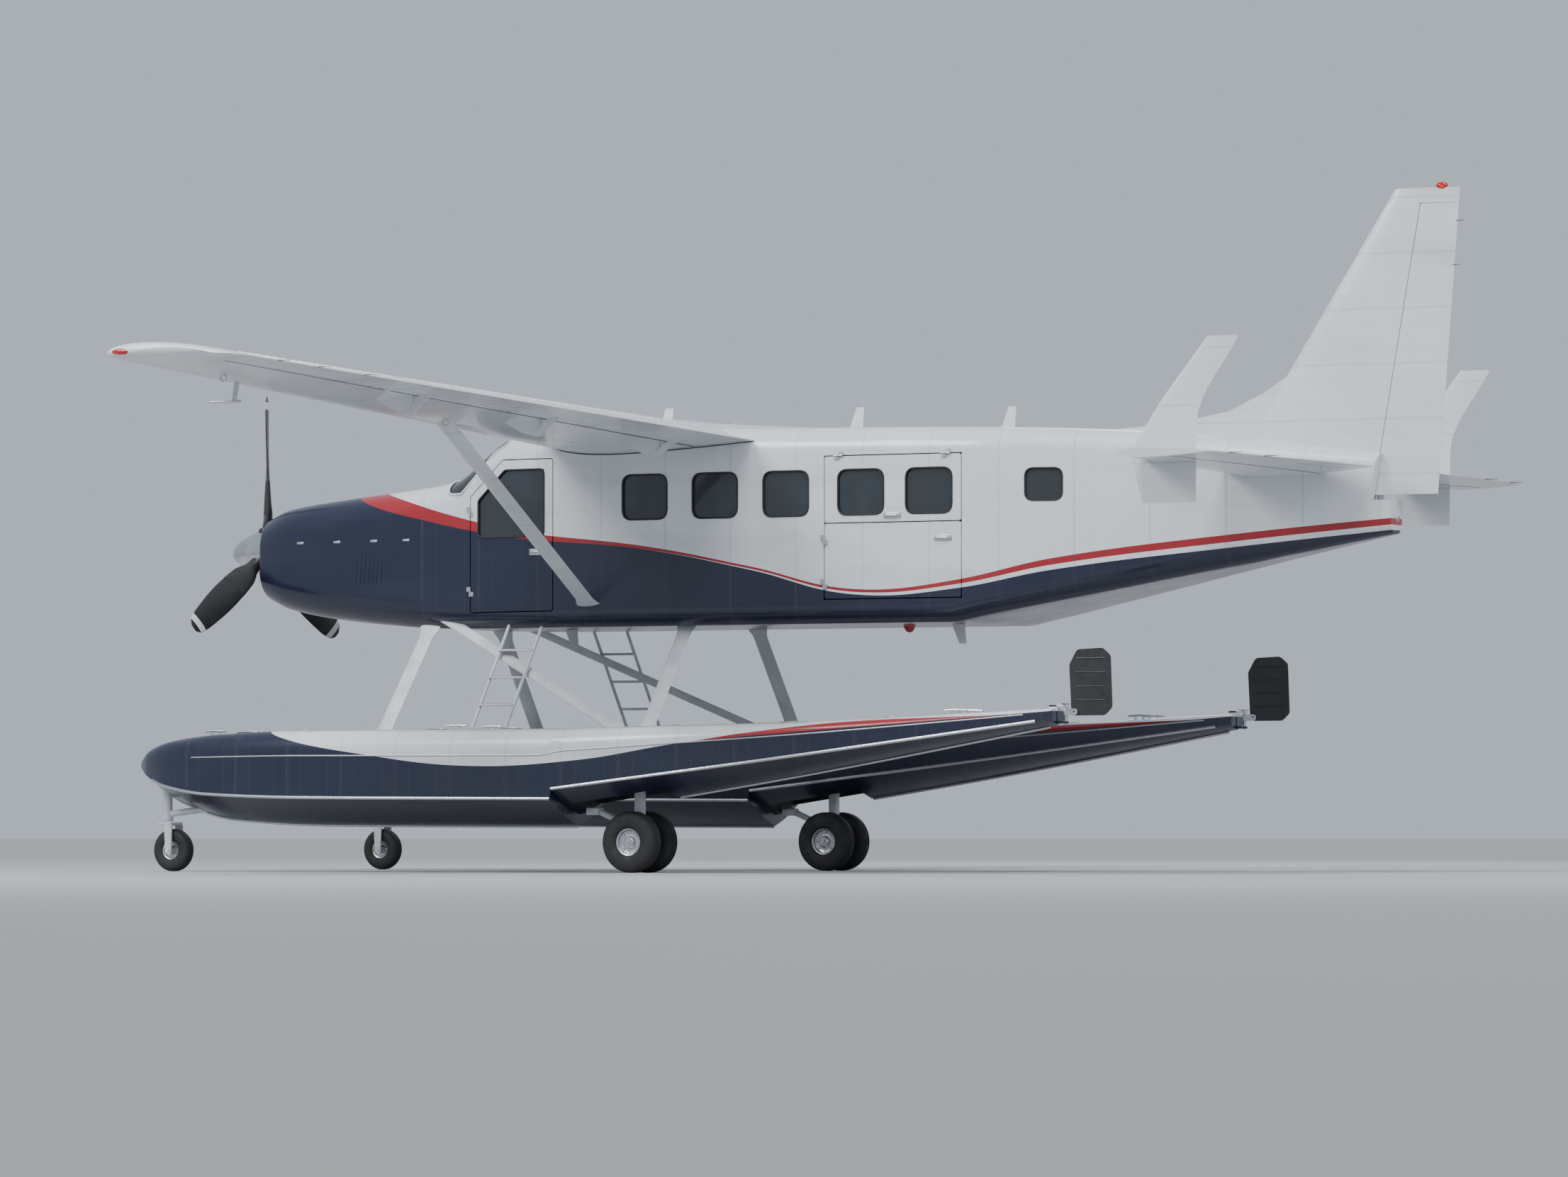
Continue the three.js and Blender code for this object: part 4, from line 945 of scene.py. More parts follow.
tubeRoom = Vector((0, tube["room"], 0))
addRod(tubeBay, hingeSpot - tubeRoom, hingeSpot + tubeRoom, tube["radius"] + panels["gap"])
carve(cone, toolOf(bodyMesh(*tail["hollow"])),
      bayTool("fin", tail["rudderFloor"], panels["rudder"][1], onFin), toolOf(tubeBay))
finMesh = surfaceMesh("fin", stationsOf(tail["finFoot"], surfaces["fin"][1][0]), wholeShape, onFin)
fin = finish("fin_skin", finMesh, tailPaint, nodes=["fin"])
carve(fin, bayTool("fin", tail["finFloor"], panels["rudder"][1], onFin))
dorsalMesh = bmesh.new()
addPlate(dorsalMesh, tail["dorsal"], -0.001, 0.001)
for vert in dorsalMesh.verts:                      # the fillet is a ridge, wide at its foot
    foot = max(0, ridge["top"] - (vert.co.z - axisUp))
    half = ridge["half"] + ridge["spread"] * min(foot / ridge["tall"], 1)
    vert.co.y = copysign(half, vert.co.y)
finish("dorsal_fillet", dorsalMesh, tailPaint, sharp=50)
rudder = surfaceMesh("fin", stationsOf(*panels["rudder"]), movingShape, onFin)
addRod(rudder, pivotAt("fin", tail["rudderFloor"] - rod["below"], onFin),
       pivotAt("fin", panels["rudder"][0] + rod["above"], onFin), rod["radius"])
finish("rudder_skin", rudder, tailPaint, "rudder", ["rudder"])


def finletAt(side):
    low, high = tail["finlet"][0][0], tail["finlet"][-1][0]

    def at(column, row):
        up = low + (high - low) * row / tail["finletRows"]
        le, te, half = tableAt(tail["finlet"], up)
        turn = tau * column / tail["finletSteps"]
        share = (1 + cos(turn)) / 2
        thick = 2.6 * sqrt(1 - share) * share if share < 1 else 0
        y = side * tail["finletY"] + copysign(half * min(thick, 1), sin(turn))
        return spot(te - share * (te - le), y, up)
    return at


for label, side in sides:
    finlet = gridMesh(tail["finletSteps"], tail["finletRows"], finletAt(side))
    finish(f"finlet_{label}_skin", finlet, tailPaint, nodes=[f"finlet_{label}"])
print("tail ready")


# Floats: a hard-chined hull each, with a step, keel strip, spray rails, deck walkway, hatches and cleats
hull = dict(
    front=[                                        # aft, keel, chine, half beam, deck
        (0.2, -1.885, -1.862, 0.07, -1.8), (0.33, -2.005, -1.93, 0.19, -1.715),
        (0.6, -2.16, -2.02, 0.32, -1.64), (1.07, -2.29, -2.085, 0.42, -1.59),
        (2, -2.338, -2.115, 0.48, -1.56), (4.39, -2.35, -2.13, 0.48, -1.56),
    ],
    back=[
        (4.395, -2.255, -2.05, 0.48, -1.56), (6.5, -1.935, -1.8, 0.38, -1.52),
        (8.73, -1.555, -1.51, 0.13, -1.425),
    ],
    dish=0.1, lean=0.006, wall=0.66, shoulder=0.34, flat=0.62, blend=0.374, power=0.9,
    bow=[0.2, 0.215, 0.24, 0.28], bowEnd=0.33, spacing=0.09,
    nose=(0.205, -1.843, 0.062, (0.55, 1.05, 0.75)), bumper=(0.222, -1.848, 0.075, (0.42, 1.15, 0.8)),
    lugs=[(8.818, 8.66, -1.415, -1.395), (8.818, 8.66, -1.545, -1.525), (8.735, 8.66, -1.545, -1.395)],
    lug=(0.022, 0.004), post=(8.8, -1.6, -1.35, 0.0147),
    well=(5.32, 4.46, 0.225, -2.4, -1.93, 0.02),
    chines=[(0.42, 4.385, 0.12), (4.4, 8.6, 0.14)], keels=[(0.34, 4.385, 0.12), (5.34, 8.66, 0.14)],
    wale=(0.9, 8.5, 0.2), rail=0.014, keel=0.013, waleRail=0.006,
    walkway=dict(run=(1.35, 6.6, 0.15), half=0.23, share=0.58, thick=0.0025),
    hatches=[1.75, 3.05, 3.75, 5.35, 6.35, 7.25], hatchRadii=(0.095, 0.06), smallAfter=6.4,
    hatch=[(0, 1), (0.006, 1), (0.009, 0.94), (0.009, 0.8), (0.006, 0.76), (0.006, 0.3), (0.01, 0.26),
           (0.01, 0)],
    cleats=[1.05, 3.4, 7.9], cleat=(-0.1, -0.06, -0.02, 0.02, 0.06, 0.1),
    caps=dict(start=1.5, pitch=0.9, count=8),
    cap=[(0, 0.024), (0.005, 0.024), (0.009, 0.016), (0.009, 0)],
)
stepFront, stepBack = hull["front"][-1][0], hull["back"][0][0]


def hullRow(aft):
    return tableAt(hull["front"] if aft <= stepFront else hull["back"], aft)


# Half a section from the keel over the chine to the middle of the deck
def hullSection(aft):
    keel, chine, half, deck = hullRow(aft)
    tall, wall, flat = deck - chine, hull["wall"], hull["flat"]
    section = [(half * t, keel + (chine - keel) * (t - hull["dish"] * sin(pi * t)))
               for t in (0, 0.2, 0.4, 0.6, 0.8, 1)]
    section += [(half * (1 - hull["lean"] * t), chine + tall * t * wall) for t in (0.04, 0.3, 0.6, 0.8, 1)]
    for k in range(1, 9):
        angle = pi / 2 * k / 8
        share = flat + hull["blend"] * cos(angle) ** hull["power"] if k < 8 else flat
        rise = wall + hull["shoulder"] * sin(angle) ** hull["power"]
        section.append((half * share, chine + tall * rise))
    return section + [(half * t, deck) for t in (0.4, 0.2, 0)]


def hullMesh(middle, stations):
    rings = []
    for aft in stations:
        section = hullSection(aft)
        rings.append([(y, up) for y, up in section] + [(-y, up) for y, up in reversed(section[1:-1])])

    def at(column, row):
        y, up = rings[row][column]
        return spot(stations[row], middle + y, up)
    return gridMesh(len(rings[0]), len(stations) - 1, at)


# Points along the hull, each found from the keel, chine, half beam and deck there
def alongHull(run, at):
    return [spot(aft, *at(*hullRow(aft))) for aft in stationsOf(*run)]


def addBow(bm, middle, aft, up, radius, scale):
    addBall(bm, spot(aft, middle, up), radius, scale)


# A box across a middle line: its far and near ends, half width, low and high faces and its bevel
def addBlock(bm, middle, far, near, half, low, high, bevel):
    addBox(bm, spot(far, middle - half, low), spot(near, middle + half, high), bevel)


def walkwayMesh(middle):
    walk = hull["walkway"]
    run = stationsOf(*walk["run"])

    def at(column, row):
        _, _, half, deck = hullRow(run[row])
        width, thick = min(walk["half"], half * walk["share"]), walk["thick"]
        way, lift = ((-1, 0), (1, 0), (1, thick), (-1, thick))[column]
        return spot(run[row], middle + way * width, deck + lift)
    return gridMesh(4, len(run) - 1, at)


# Hatches on the deck's middle, cleats at its edges, and a row of pump-out caps
def addDeckFittings(bm, middle, side):
    for aft in hull["hatches"]:
        deck, radius = hullRow(aft)[3], hull["hatchRadii"][aft >= hull["smallAfter"]]
        addTurned(bm, spot(aft, middle, deck + 0.001), (0, 0, 1),
                  [(rise, radius * share) for rise, share in hull["hatch"]], 32)
        addBox(bm, spot(aft - radius * 0.6, middle - 0.006, deck + 0.006),
               spot(aft + radius * 0.6, middle + 0.006, deck + 0.015), 0.003)
    for aft in hull["cleats"]:
        _, _, half, deck = hullRow(aft)
        for way in (1, -1):
            at = spot(aft, middle + way * half * 0.6, deck + 0.034)
            addStrip(bm, [at + Vector((x, 0, -0.006 * abs(x) / 0.1)) for x in hull["cleat"]], 0.0095)
            for x in (-0.035, 0.035):
                addRod(bm, at + Vector((x, 0, -0.036)), at + Vector((x, 0, 0.002)), 0.01, 0.008, 12)
    caps = hull["caps"]
    for k in range(caps["count"]):
        aft = caps["start"] + k * caps["pitch"]
        _, _, half, deck = hullRow(aft)
        addTurned(bm, spot(aft, middle - side * half * 0.5, deck), (0, 0, 1), hull["cap"], 20)


hullStations = (hull["bow"] + stationsOf(hull["bowEnd"], stepFront, hull["spacing"])
                + stationsOf(stepBack, hull["back"][-1][0], hull["spacing"]))
for label, side in sides:
    middle = side * floatMiddle
    floatMesh = hullMesh(middle, hullStations)
    addBow(floatMesh, middle, *hull["nose"])
    half, bevel = hull["lug"]
    for far, near, low, high in hull["lugs"]:
        addBlock(floatMesh, middle, far, near, half, low, high, bevel)
    skin = finish(f"float_{label}_hull", floatMesh, floatPaint, nodes=[f"float_{label}"], sharp=28)
    bore, well = bmesh.new(), bmesh.new()
    aft, low, high, radius = hull["post"]
    addRod(bore, spot(aft, middle, low), spot(aft, middle, high), radius)
    addBlock(well, middle, *hull["well"])
    # the wheel well's cut walls take the black panel finish instead of the float's paint: painted shade in
    # the recess
    carve(skin, toolOf(bore), toolOf(well, panelBlack), sharp=28)
    rails = bmesh.new()
    for way in (1, -1):
        for run in hull["chines"]:
            addStrip(rails, alongHull(run, lambda keel, chine, half, deck:
                                      (middle + way * (half - 0.002), chine)), hull["rail"])
        addStrip(rails, alongHull(hull["wale"], lambda keel, chine, half, deck:
                                  (middle + way * (half * 0.997), chine + (deck - chine) * 0.62)),
                 hull["waleRail"], 6)
    for run in hull["keels"]:
        addStrip(rails, alongHull(run, lambda keel, *_: (middle, keel - 0.004)), hull["keel"])
    finish(f"float_rails_{label}", rails, bareAlloy, slot="navy_aluminium")
    finish(f"float_walkway_{label}", walkwayMesh(middle), walkway)
    fittings, bow = bmesh.new(), bmesh.new()
    addDeckFittings(fittings, middle, side)
    finish(f"float_fittings_{label}", fittings, bareAlloy)
    addBow(bow, middle, *hull["bumper"])
    finish(f"bow_bumper_{label}", bow, sealRubber)
print("floats ready")


# Struts: streamlined bars with a fairing at each end, and the spreader bars between the floats
struts = dict(
    steps=28, rows=26, cuff=0.12, swell=0.5, fullness=1.28 * 2.05 / 2.1, power=0.82,
    frames=dict(front=(2.29, 0.04), rear=(4.8, 0)), leg=(0.13, 0.05),
    top=(0.6, -0.672), foot=(1.33, -1.6),
    shoe=dict(half=0.09, inner=1.15, outer=1.262, low=-1.7, high=-1.56, bevel=0.012),
    spreader=(1.232, -1.65, 0.11, 0.06),
    bolt=dict(aft=0.055, up=0.035, level=-1.63, inner=1.138, radius=0.011),
    brace=((2.462, 0.6, -0.6), (4.62, 1.33, -1.6), 0.09, 0.045),
    wing=((3.984, 0.8, -0.528), (4.064, 3.42, 0.944), 0.165, 0.052),
)


def frameAlong(start, end):
    along = (end - start).normalized()
    across = Vector((1, 0, 0)) if abs(along.x) < 0.9 else Vector((0, 0, 1))
    side = along.cross(across).normalized()
    return side.cross(along).normalized(), side


def addStrut(bm, start, end, chord, depth, cuffs):
    ahead, over = frameAlong(start, end)
    length = (end - start).length
    if ahead.x < 0:
        ahead = -ahead

    def at(column, row):
        share = row / struts["rows"]
        near = min(share * length if cuffs[0] else inf, (1 - share) * length if cuffs[1] else inf)
        fade = max(0, 1 - near / struts["cuff"])
        swell = 1 + struts["swell"] * fade * fade * (3 - 2 * fade)
        turn = tau * column / struts["steps"]
        back = (1 - cos(turn)) / 2
        thick = struts["fullness"] * sqrt(back) * (1 - back) ** struts["power"]
        x = (0.5 - back) * chord * swell
        y = copysign(min(thick, 1), sin(turn)) * depth / 2 * swell if column else 0
        return start + (end - start) * share + ahead * x + over * y
    skinGrid(bm, struts["steps"], struts["rows"], at)


def sideStrut(side, bar, cuffs):
    *ends, chord, depth = bar
    bm = bmesh.new()
    addStrut(bm, *[spot(aft, side * y, up) for aft, y, up in ends], chord, depth, cuffs)
    return bm


for name, (aft, lean) in struts["frames"].items():
    legs, spreader, bolts = bmesh.new(), bmesh.new(), bmesh.new()
    (topY, topUp), (footY, footUp) = struts["top"], struts["foot"]
    shoe, bolt, (reach, barUp, *size) = struts["shoe"], struts["bolt"], struts["spreader"]
    for _, side in sides:
        addStrut(legs, spot(aft + lean, side * topY, topUp), spot(aft, side * footY, footUp),
                 *struts["leg"], (True, True))
        addBox(legs, spot(aft + shoe["half"], side * shoe["inner"], shoe["low"]),
               spot(aft - shoe["half"], side * shoe["outer"], shoe["high"]), shoe["bevel"])
    finish(f"{name}_float_strut_skins", legs, strutPaint, nodes=[f"{name}_float_struts"])
    addStrut(spreader, spot(aft, -reach, barUp), spot(aft, reach, barUp), *size, (False, False))
    finish(f"{name}_spreader_bar", spreader, strutPaint)
    for _, side in sides:
        for dx in (-bolt["aft"], bolt["aft"]):
            for up in (bolt["level"] - bolt["up"], bolt["level"] + bolt["up"]):
                ends = [spot(aft + dx, side * y, up) for y in (shoe["inner"], bolt["inner"])]
                addRod(bolts, *ends, bolt["radius"], segments=6)
    finish(f"{name}_frame_bolts", bolts, darkMetal)
for label, side in sides:
    finish(f"diagonal_brace_{label}_skin", sideStrut(side, struts["brace"], (False, True)), strutPaint,
           nodes=[f"diagonal_brace_{label}"])
    finish(f"wing_strut_{label}_skin", sideStrut(side, struts["wing"], (True, True)), wingPaint,
           nodes=[f"wing_strut_{label}"], slot="white_aluminium")
print("struts ready")


# Power plant: three-blade propeller, spinner and exhaust stack
propeller = dict(
    aft=0.33, blades=3, rows=34, columns=26, tip=1.345, camber=0.32, sharpen=0.35,
    shank=dict(start=0.15, length=0.25),           # a round shank that becomes an aerofoil
    sections=[                                     # radius, chord, thickness, pitch in degrees
        (0.15, 0.11, 0.108, 45), (0.27, 0.125, 0.086, 48), (0.43, 0.205, 0.046, 43),
        (0.8, 0.24, 0.027, 32), (1.15, 0.205, 0.018, 25), (1.3, 0.15, 0.012, 22),
        (1.345, 0.066, 0.008, 21),
    ],
    layers=[(0.15, 1.345, 0), (0.33, 0.62, 0.0022), (1.235, 1.3, 0.0008)],
    spinner=[(0, 0), (0.004, 0.022), (0.015, 0.045), (0.04, 0.073), (0.075, 0.101), (0.115, 0.127),
             (0.16, 0.148), (0.205, 0.165), (0.2352, 0.174), (0.2352, 0)],
    plate=[(0.2354, 0), (0.2354, 0.176), (0.25, 0.18), (0.32, 0.19), (0.396, 0.19), (0.404, 0.182),
           (0.404, 0.11), (0.4315, 0.106), (0.4315, 0)],
    cuff=[(0.1, 0), (0.1, 0.07), (0.196, 0.07), (0.203, 0.064), (0.215, 0.06), (0.215, 0)],
)


# The blade's skin from one radius to another, grown outward for a sleeve on it
def bladeMesh(turn, start, end, grow):
    def at(column, row):
        radius = start + (end - start) * row / propeller["rows"]
        chord, thick, pitch = tableAt(propeller["sections"], min(radius, propeller["tip"]))
        angle = tau * column / propeller["columns"]
        shank = propeller["shank"]
        foil = 1 - max(0, 1 - (radius - shank["start"]) / shank["length"])
        camber = foil * propeller["camber"] * thick * (1 - cos(angle) ** 2)
        c = cos(angle) * (chord / 2 + grow)
        shape = sin(angle) * (1 - propeller["sharpen"] * foil * (1 - cos(angle)) / 2)
        t = shape * (thick / 2 + grow) + camber
        tilt = radians(pitch)
        across = c * cos(tilt) - t * sin(tilt)
        back = c * sin(tilt) + t * cos(tilt)
        return spot(propeller["aft"] + back, radius * sin(turn) + across * cos(turn),
                    radius * cos(turn) - across * sin(turn))
    return gridMesh(propeller["columns"], propeller["rows"], at)


turns = [tau * k / propeller["blades"] for k in range(propeller["blades"])]
blades, boots, bands, plate, cuffs, nose = [bmesh.new() for _ in range(6)]
for turn in turns:
    for target, layer in zip((blades, boots, bands), propeller["layers"]):
        joinInto(target, bladeMesh(turn, *layer))
    out = Vector((0, sin(turn), cos(turn)))
    addTurned(cuffs, spot(propeller["aft"], 0, 0), out, propeller["cuff"], 32)
addTurned(plate, spot(0, 0, 0), (-1, 0, 0), propeller["plate"], 64)
addTurned(nose, spot(0, 0, 0), (-1, 0, 0), propeller["spinner"], 64)
for name, bm, material, nodes, sharp in (
        ("propeller_blades", blades, composite, ["propeller"], 50), ("blade_boots", boots, rubber, (), 50),
        ("blade_bands", bands, markWhite, (), 50), ("spinner_backplate", plate, chromed, (), 30),
        ("blade_cuffs", cuffs, darkMetal, (), 32), ("spinner_shell", nose, chromed, ["spinner"], 50)):
    finish(name, bm, material, "propeller", nodes, sharp)

stack = dict(
    root=(1.1, -0.25, -0.33), elbow=(1.24, -0.47, -0.505), end=(1.65, -0.64, -0.58),
    bend=0.1, steps=10, radius=0.0745, inner=0.068, band=(0.34, 0.38), lip=0.004,
    bore=(0.3, 1.1), blister=dict(share=0.16, radius=0.098, scale=(1.9, 1, 1)),
)
root, elbow, mouth = [spot(*stack[end]) for end in ("root", "elbow", "end")]
before = elbow + (root - elbow).normalized() * stack["bend"]
after = elbow + (mouth - elbow).normalized() * stack["bend"]
bend = [before.lerp(elbow, share).lerp(elbow.lerp(after, share), share)
        for share in (k / stack["steps"] for k in range(stack["steps"] + 1))]
pipe, bore, blister = bmesh.new(), bmesh.new(), bmesh.new()
addStrip(pipe, [root, *bend, mouth], stack["radius"], 40)
addStrip(pipe, [after.lerp(mouth, share) for share in stack["band"]], stack["radius"] + stack["lip"], 40)
addRod(bore, *[elbow.lerp(mouth, share) for share in stack["bore"]], stack["inner"], segments=40)
exhaust = finish("exhaust_pipe", pipe, hotSteel, nodes=["exhaust_stack"], sharp=40)
carve(exhaust, toolOf(bore, soot), sharp=40)
swelling = stack["blister"]
addBall(blister, elbow.lerp(root, swelling["share"]), swelling["radius"], swelling["scale"], 32)
finish("exhaust_fairing", blister, cowlPaint, sharp=50)


# Cowl furniture: louvres and latches on each side
furniture = dict(
    louvres=dict(aft=1.55, count=7, pitch=0.045, lean=0.02, low=-0.16 - 0.13, length=0.26,
                 radius=0.0075),
    latches=[0.95, 1.35, 1.75, 2.1], latchUp=0.06,
)
louvreMesh, latches = bmesh.new(), bmesh.new()
louvres = furniture["louvres"]
for _, side in sides:
    for k in range(louvres["count"]):
        aft = louvres["aft"] + k * louvres["pitch"]
        half = bodyRow(aft)[0]
        addStrip(louvreMesh, [spot(aft + louvres["lean"] * t, side * (half - 0.001),
                                   louvres["low"] + louvres["length"] * t)
                              for t in (0, 0.25, 0.5, 0.75, 1)], louvres["radius"])
    for aft in furniture["latches"]:
        at = spot(aft, side * (bodyRow(aft)[0] + 0.001), furniture["latchUp"])
        addBox(latches, at + Vector((-0.035, -0.004, -0.01)), at + Vector((0.035, 0.004, 0.01)), 0.003)
        addRod(latches, at + Vector((-0.026, -0.006, 0)), at + Vector((-0.026, 0.006, 0)), 0.006, segments=12)
finish("cowl_louvres", louvreMesh, cowlPaint)
finish("cowl_latches", latches, bareAlloy)
print("power plant ready")


# Landing gear: main legs with twin wheels behind the step, bow legs with castoring forks
flatSides = 20
mainGear = dict(
    aft=4.96, radius=0.252, apart=0.138, axle=(0.09, 0.024), nuts=8,
    hub=[(-0.052, 0), (-0.052, 0.096), (-0.058, 0.108), (-0.055, 0.113), (-0.04, 0.104), (0.03, 0.1),
         (0.05, 0.106), (0.056, 0.114), (0.06, 0.11), (0.055, 0.1), (0.034, 0.092), (0.026, 0.07),
         (0.03, 0.052), (0.05, 0.044), (0.056, 0.036), (0.056, 0)],
    nut=dict(out=0.08, base=0.026, rise=0.014, radius=0.0075), cap=(0.05, 0.066, 0.02, 0.014),
    disc=[(-0.004, 0.045), (-0.004, 0.088), (0.004, 0.088), (0.004, 0.045), (-0.004, 0.045)],
    discY=0.073,
    post=(4.998, 4.922, 0.036, 0.03, -1.99, 0.012),
    bearing=[(-0.042, 0.0262), (-0.042, 0.054), (-0.036, 0.06), (0.036, 0.06), (0.042, 0.054),
             (0.042, 0.0262), (-0.042, 0.0262)],
    drag=dict(above=0.09, end=(4.54, -2.215), radius=0.026, ball=0.04),
    foot=(4.6, 4.48, 0.05, -2.262, -2.2, 0.012), caliper=(0.08, 0.056, 0.045),
)
bowGear = dict(
    castor=0.42, aft=0.48, radius=0.18, nuts=6,
    tube=[(0, 0.019), (0, 0.04), (0.008, 0.046), (0.075, 0.046), (0.082, 0.04), (0.3, 0.038),
          (0.3, 0), (0.11, 0), (0.11, 0.019), (0, 0.019)], tubeLow=-2.31,
    arm=((0.44, -2.248), (0.86, -2.2), 0.026, 0.03),
    crown=(0.51, 0.375, 0.094, -2.346, -2.318, 0.008),
    cheek=dict(top=(0.44, 0.515, -2.33), foot=(0.508, 0.452, 0.034), radius=0.024,
               y=(0.076, 0.092)),
    axleEnd=(0.092, 0.099, 0.018),
    rim=[(0, 0), (0, 0.076), (0.036, 0.074), (0.044, 0.082), (0.05, 0.078), (0.046, 0.068),
         (0.026, 0.06), (0.022, 0.036), (0.04, 0.026), (0.064, 0.024), (0.064, 0)],
    nut=dict(out=0.048, base=0.022, rise=0.01, radius=0.0055),
)
tyres = dict(
    main=[(-0.054, 0.108), (-0.07, 0.118), (-0.079, 0.14), (-0.082, 0.17), (-0.08, 0.198),
          (-0.072, 0.222), (-0.06, 0.238), (-0.044, 0.2465), (-0.03, 0.2485), (-0.027, 0.243),
          (-0.021, 0.243), (-0.018, 0.2488), (-0.004, 0.249), (-0.003, 0.2435), (0.003, 0.2435),
          (0.004, 0.249)],
    bow=[(-0.042, 0.078), (-0.053, 0.086), (-0.059, 0.104), (-0.062, 0.128), (-0.058, 0.152),
         (-0.046, 0.168), (-0.03, 0.1762), (-0.016, 0.1776), (-0.013, 0.173), (-0.009, 0.173),
         (-0.006, 0.1778)],
)


def wheelUp(gear):
    return -axisUp + gear["radius"] * cos(pi / flatSides)


# A tyre from half its profile, the other half mirrored
def tyreMesh(centre, kind):
    bm, half = bmesh.new(), tyres[kind]
    profile = half + [(-a, r) for a, r in reversed(half)] + [half[0]]
    addTurned(bm, centre, (0, 1, 0), profile, 72)
    return bm


def addNuts(bm, centre, way, gear):
    nut = gear["nut"]
    for k in range(gear["nuts"]):
        turn = tau * k / gear["nuts"]
        out = Vector((cos(turn), 0, sin(turn)))
        start = centre + out * nut["out"] + Vector((0, way * nut["base"], 0))
        addRod(bm, start, start + Vector((0, way * nut["rise"], 0)), nut["radius"], segments=6)


def acrossOf(*ends):
    return [Vector((0, y, 0)) for y in ends]


def buildMainGear(label, side, middle):
    axle = spot(mainGear["aft"], middle, wheelUp(mainGear))
    spin, apart = f"main_wheels_{label}", mainGear["apart"]
    for place, way in (("outer", side), ("inner", -side)):
        tyre = f"main_tyre_{label}_{place}"
        finish(tyre + "_tread", tyreMesh(axle + Vector((0, way * apart, 0)), "main"), rubber, spin,
               [tyre], 40)
    hubs, discs, leg, calipers = [bmesh.new() for _ in range(4)]
    inner, outer, *radii = mainGear["cap"]
    for way in (1, -1):
        centre = axle + Vector((0, way * apart, 0))
        addTurned(hubs, centre, (0, way, 0), mainGear["hub"], 48)
        addNuts(hubs, centre, way, mainGear)
        addRod(hubs, *[centre + end for end in acrossOf(way * inner, way * outer)], *radii, 20)
        addTurned(discs, axle + Vector((0, way * mainGear["discY"], 0)), (0, way, 0), mainGear["disc"], 48)
        aft, y, up = mainGear["caliper"]
        at = axle + Vector((aft, way * y, up))
        addBox(calipers, at - Vector((0.026, 0.012, 0.034)), at + Vector((0.01, 0.01, 0.03)), 0.006)
    reach, radius = mainGear["axle"]
    addRod(hubs, *[axle + end for end in acrossOf(-reach, reach)], radius)
    finish(f"main_hubs_{label}_rims", hubs, bareAlloy, spin, [f"main_wheel_hubs_{label}"], 35,
           slot="polished_metal")
    finish(f"brake_discs_{label}", discs, chromed, spin)
    far, near, half, above, high, bevel = mainGear["post"]
    addBlock(leg, middle, far, near, half, wheelUp(mainGear) + above, high, bevel)
    addTurned(leg, axle, (0, 1, 0), mainGear["bearing"], 40)
    drag = mainGear["drag"]
    knee, (endAft, endUp) = axle + Vector((0, 0, drag["above"])), drag["end"]
    addRod(leg, knee, spot(endAft, middle, endUp), drag["radius"])
    addBall(leg, knee, drag["ball"])
    addBlock(leg, middle, *mainGear["foot"])
    finish(f"main_leg_{label}_casting", leg, strutPaint, nodes=[f"main_gear_leg_{label}"])
    finish(f"brake_calipers_{label}", calipers, darkMetal)


def buildBowGear(label, middle):
    axle = spot(bowGear["aft"], middle, wheelUp(bowGear))
    leg, fork, rim = bmesh.new(), bmesh.new(), bmesh.new()
    addTurned(leg, spot(bowGear["castor"], middle, bowGear["tubeLow"]), (0, 0, 1), bowGear["tube"], 36)
    (frontAft, frontUp), (backAft, backUp), *radii = bowGear["arm"]
    addRod(leg, spot(frontAft, middle, frontUp), spot(backAft, middle, backUp), *radii)
    finish(f"bow_leg_{label}_tube", leg, strutPaint, nodes=[f"bow_gear_leg_{label}"])
    addBlock(fork, middle, *bowGear["crown"])
    cheek = bowGear["cheek"]
    (front, back, top), (footBack, footFront, above) = cheek["top"], cheek["foot"]
    foot = wheelUp(bowGear) - above
    outline = rounded([(front, top), (back, top), (footBack, foot), (footFront, foot)], cheek["radius"], 5)
    inner, outer, radius = bowGear["axleEnd"]
    for way in (1, -1):
        addPlate(fork, outline, *sorted(middle + way * y for y in cheek["y"]))
        addRod(fork, *[axle + end for end in acrossOf(way * inner, way * outer)], radius, segments=6)
        addTurned(rim, axle, (0, way, 0), bowGear["rim"], 40)
        addNuts(rim, axle, way, bowGear)
    finish(f"bow_fork_{label}_yoke", fork, strutPaint, f"bow_fork_{label}", [f"bow_fork_{label}"])
    finish(f"bow_tyre_{label}_tread", tyreMesh(axle, "bow"), rubber, f"bow_wheel_{label}",
           [f"bow_tyre_{label}"], 40)
    finish(f"bow_rim_{label}", rim, bareAlloy, f"bow_wheel_{label}", [f"bow_wheel_hub_{label}"], 35,
           slot="polished_metal")


for label, side in sides:
    buildMainGear(label, side, side * floatMiddle)
    buildBowGear(label, side * floatMiddle)
print("gear ready")


# Water rudders, raised at the sterns, with their stiffened blades
rudders = dict(
    post=dict(aft=8.8, low=-1.552, cap=-1.3945, high=-1.385, radii=(0.014, 0.021)),
    block=(8.813, 8.787, 0.023, -1.48, -1.425, 0.004), cheekY=(0.0135, 0.0225),
    cheek=[(8.792, -1.48), (8.91, -1.476), (8.91, -1.429), (8.792, -1.425)],
    horn=(8.815, 8.785, 0.01, 0.11, -1.3938, -1.386, 0.002),
    blade=[(8.852, -1.482), (9.14, -1.482), (9.205, -1.42), (9.19, -1.01), (9.12, -0.95),
           (8.9, -0.96), (8.832, -1.08)],
    half=0.0065, ribs=(-1.36, -1.25, -1.14, -1.03), rib=(8.89, 9.15, 0.0055),
    lift=(8.88, -1.45), pins=[(0.023, 0.007), (0.0125, 0.022)],
)
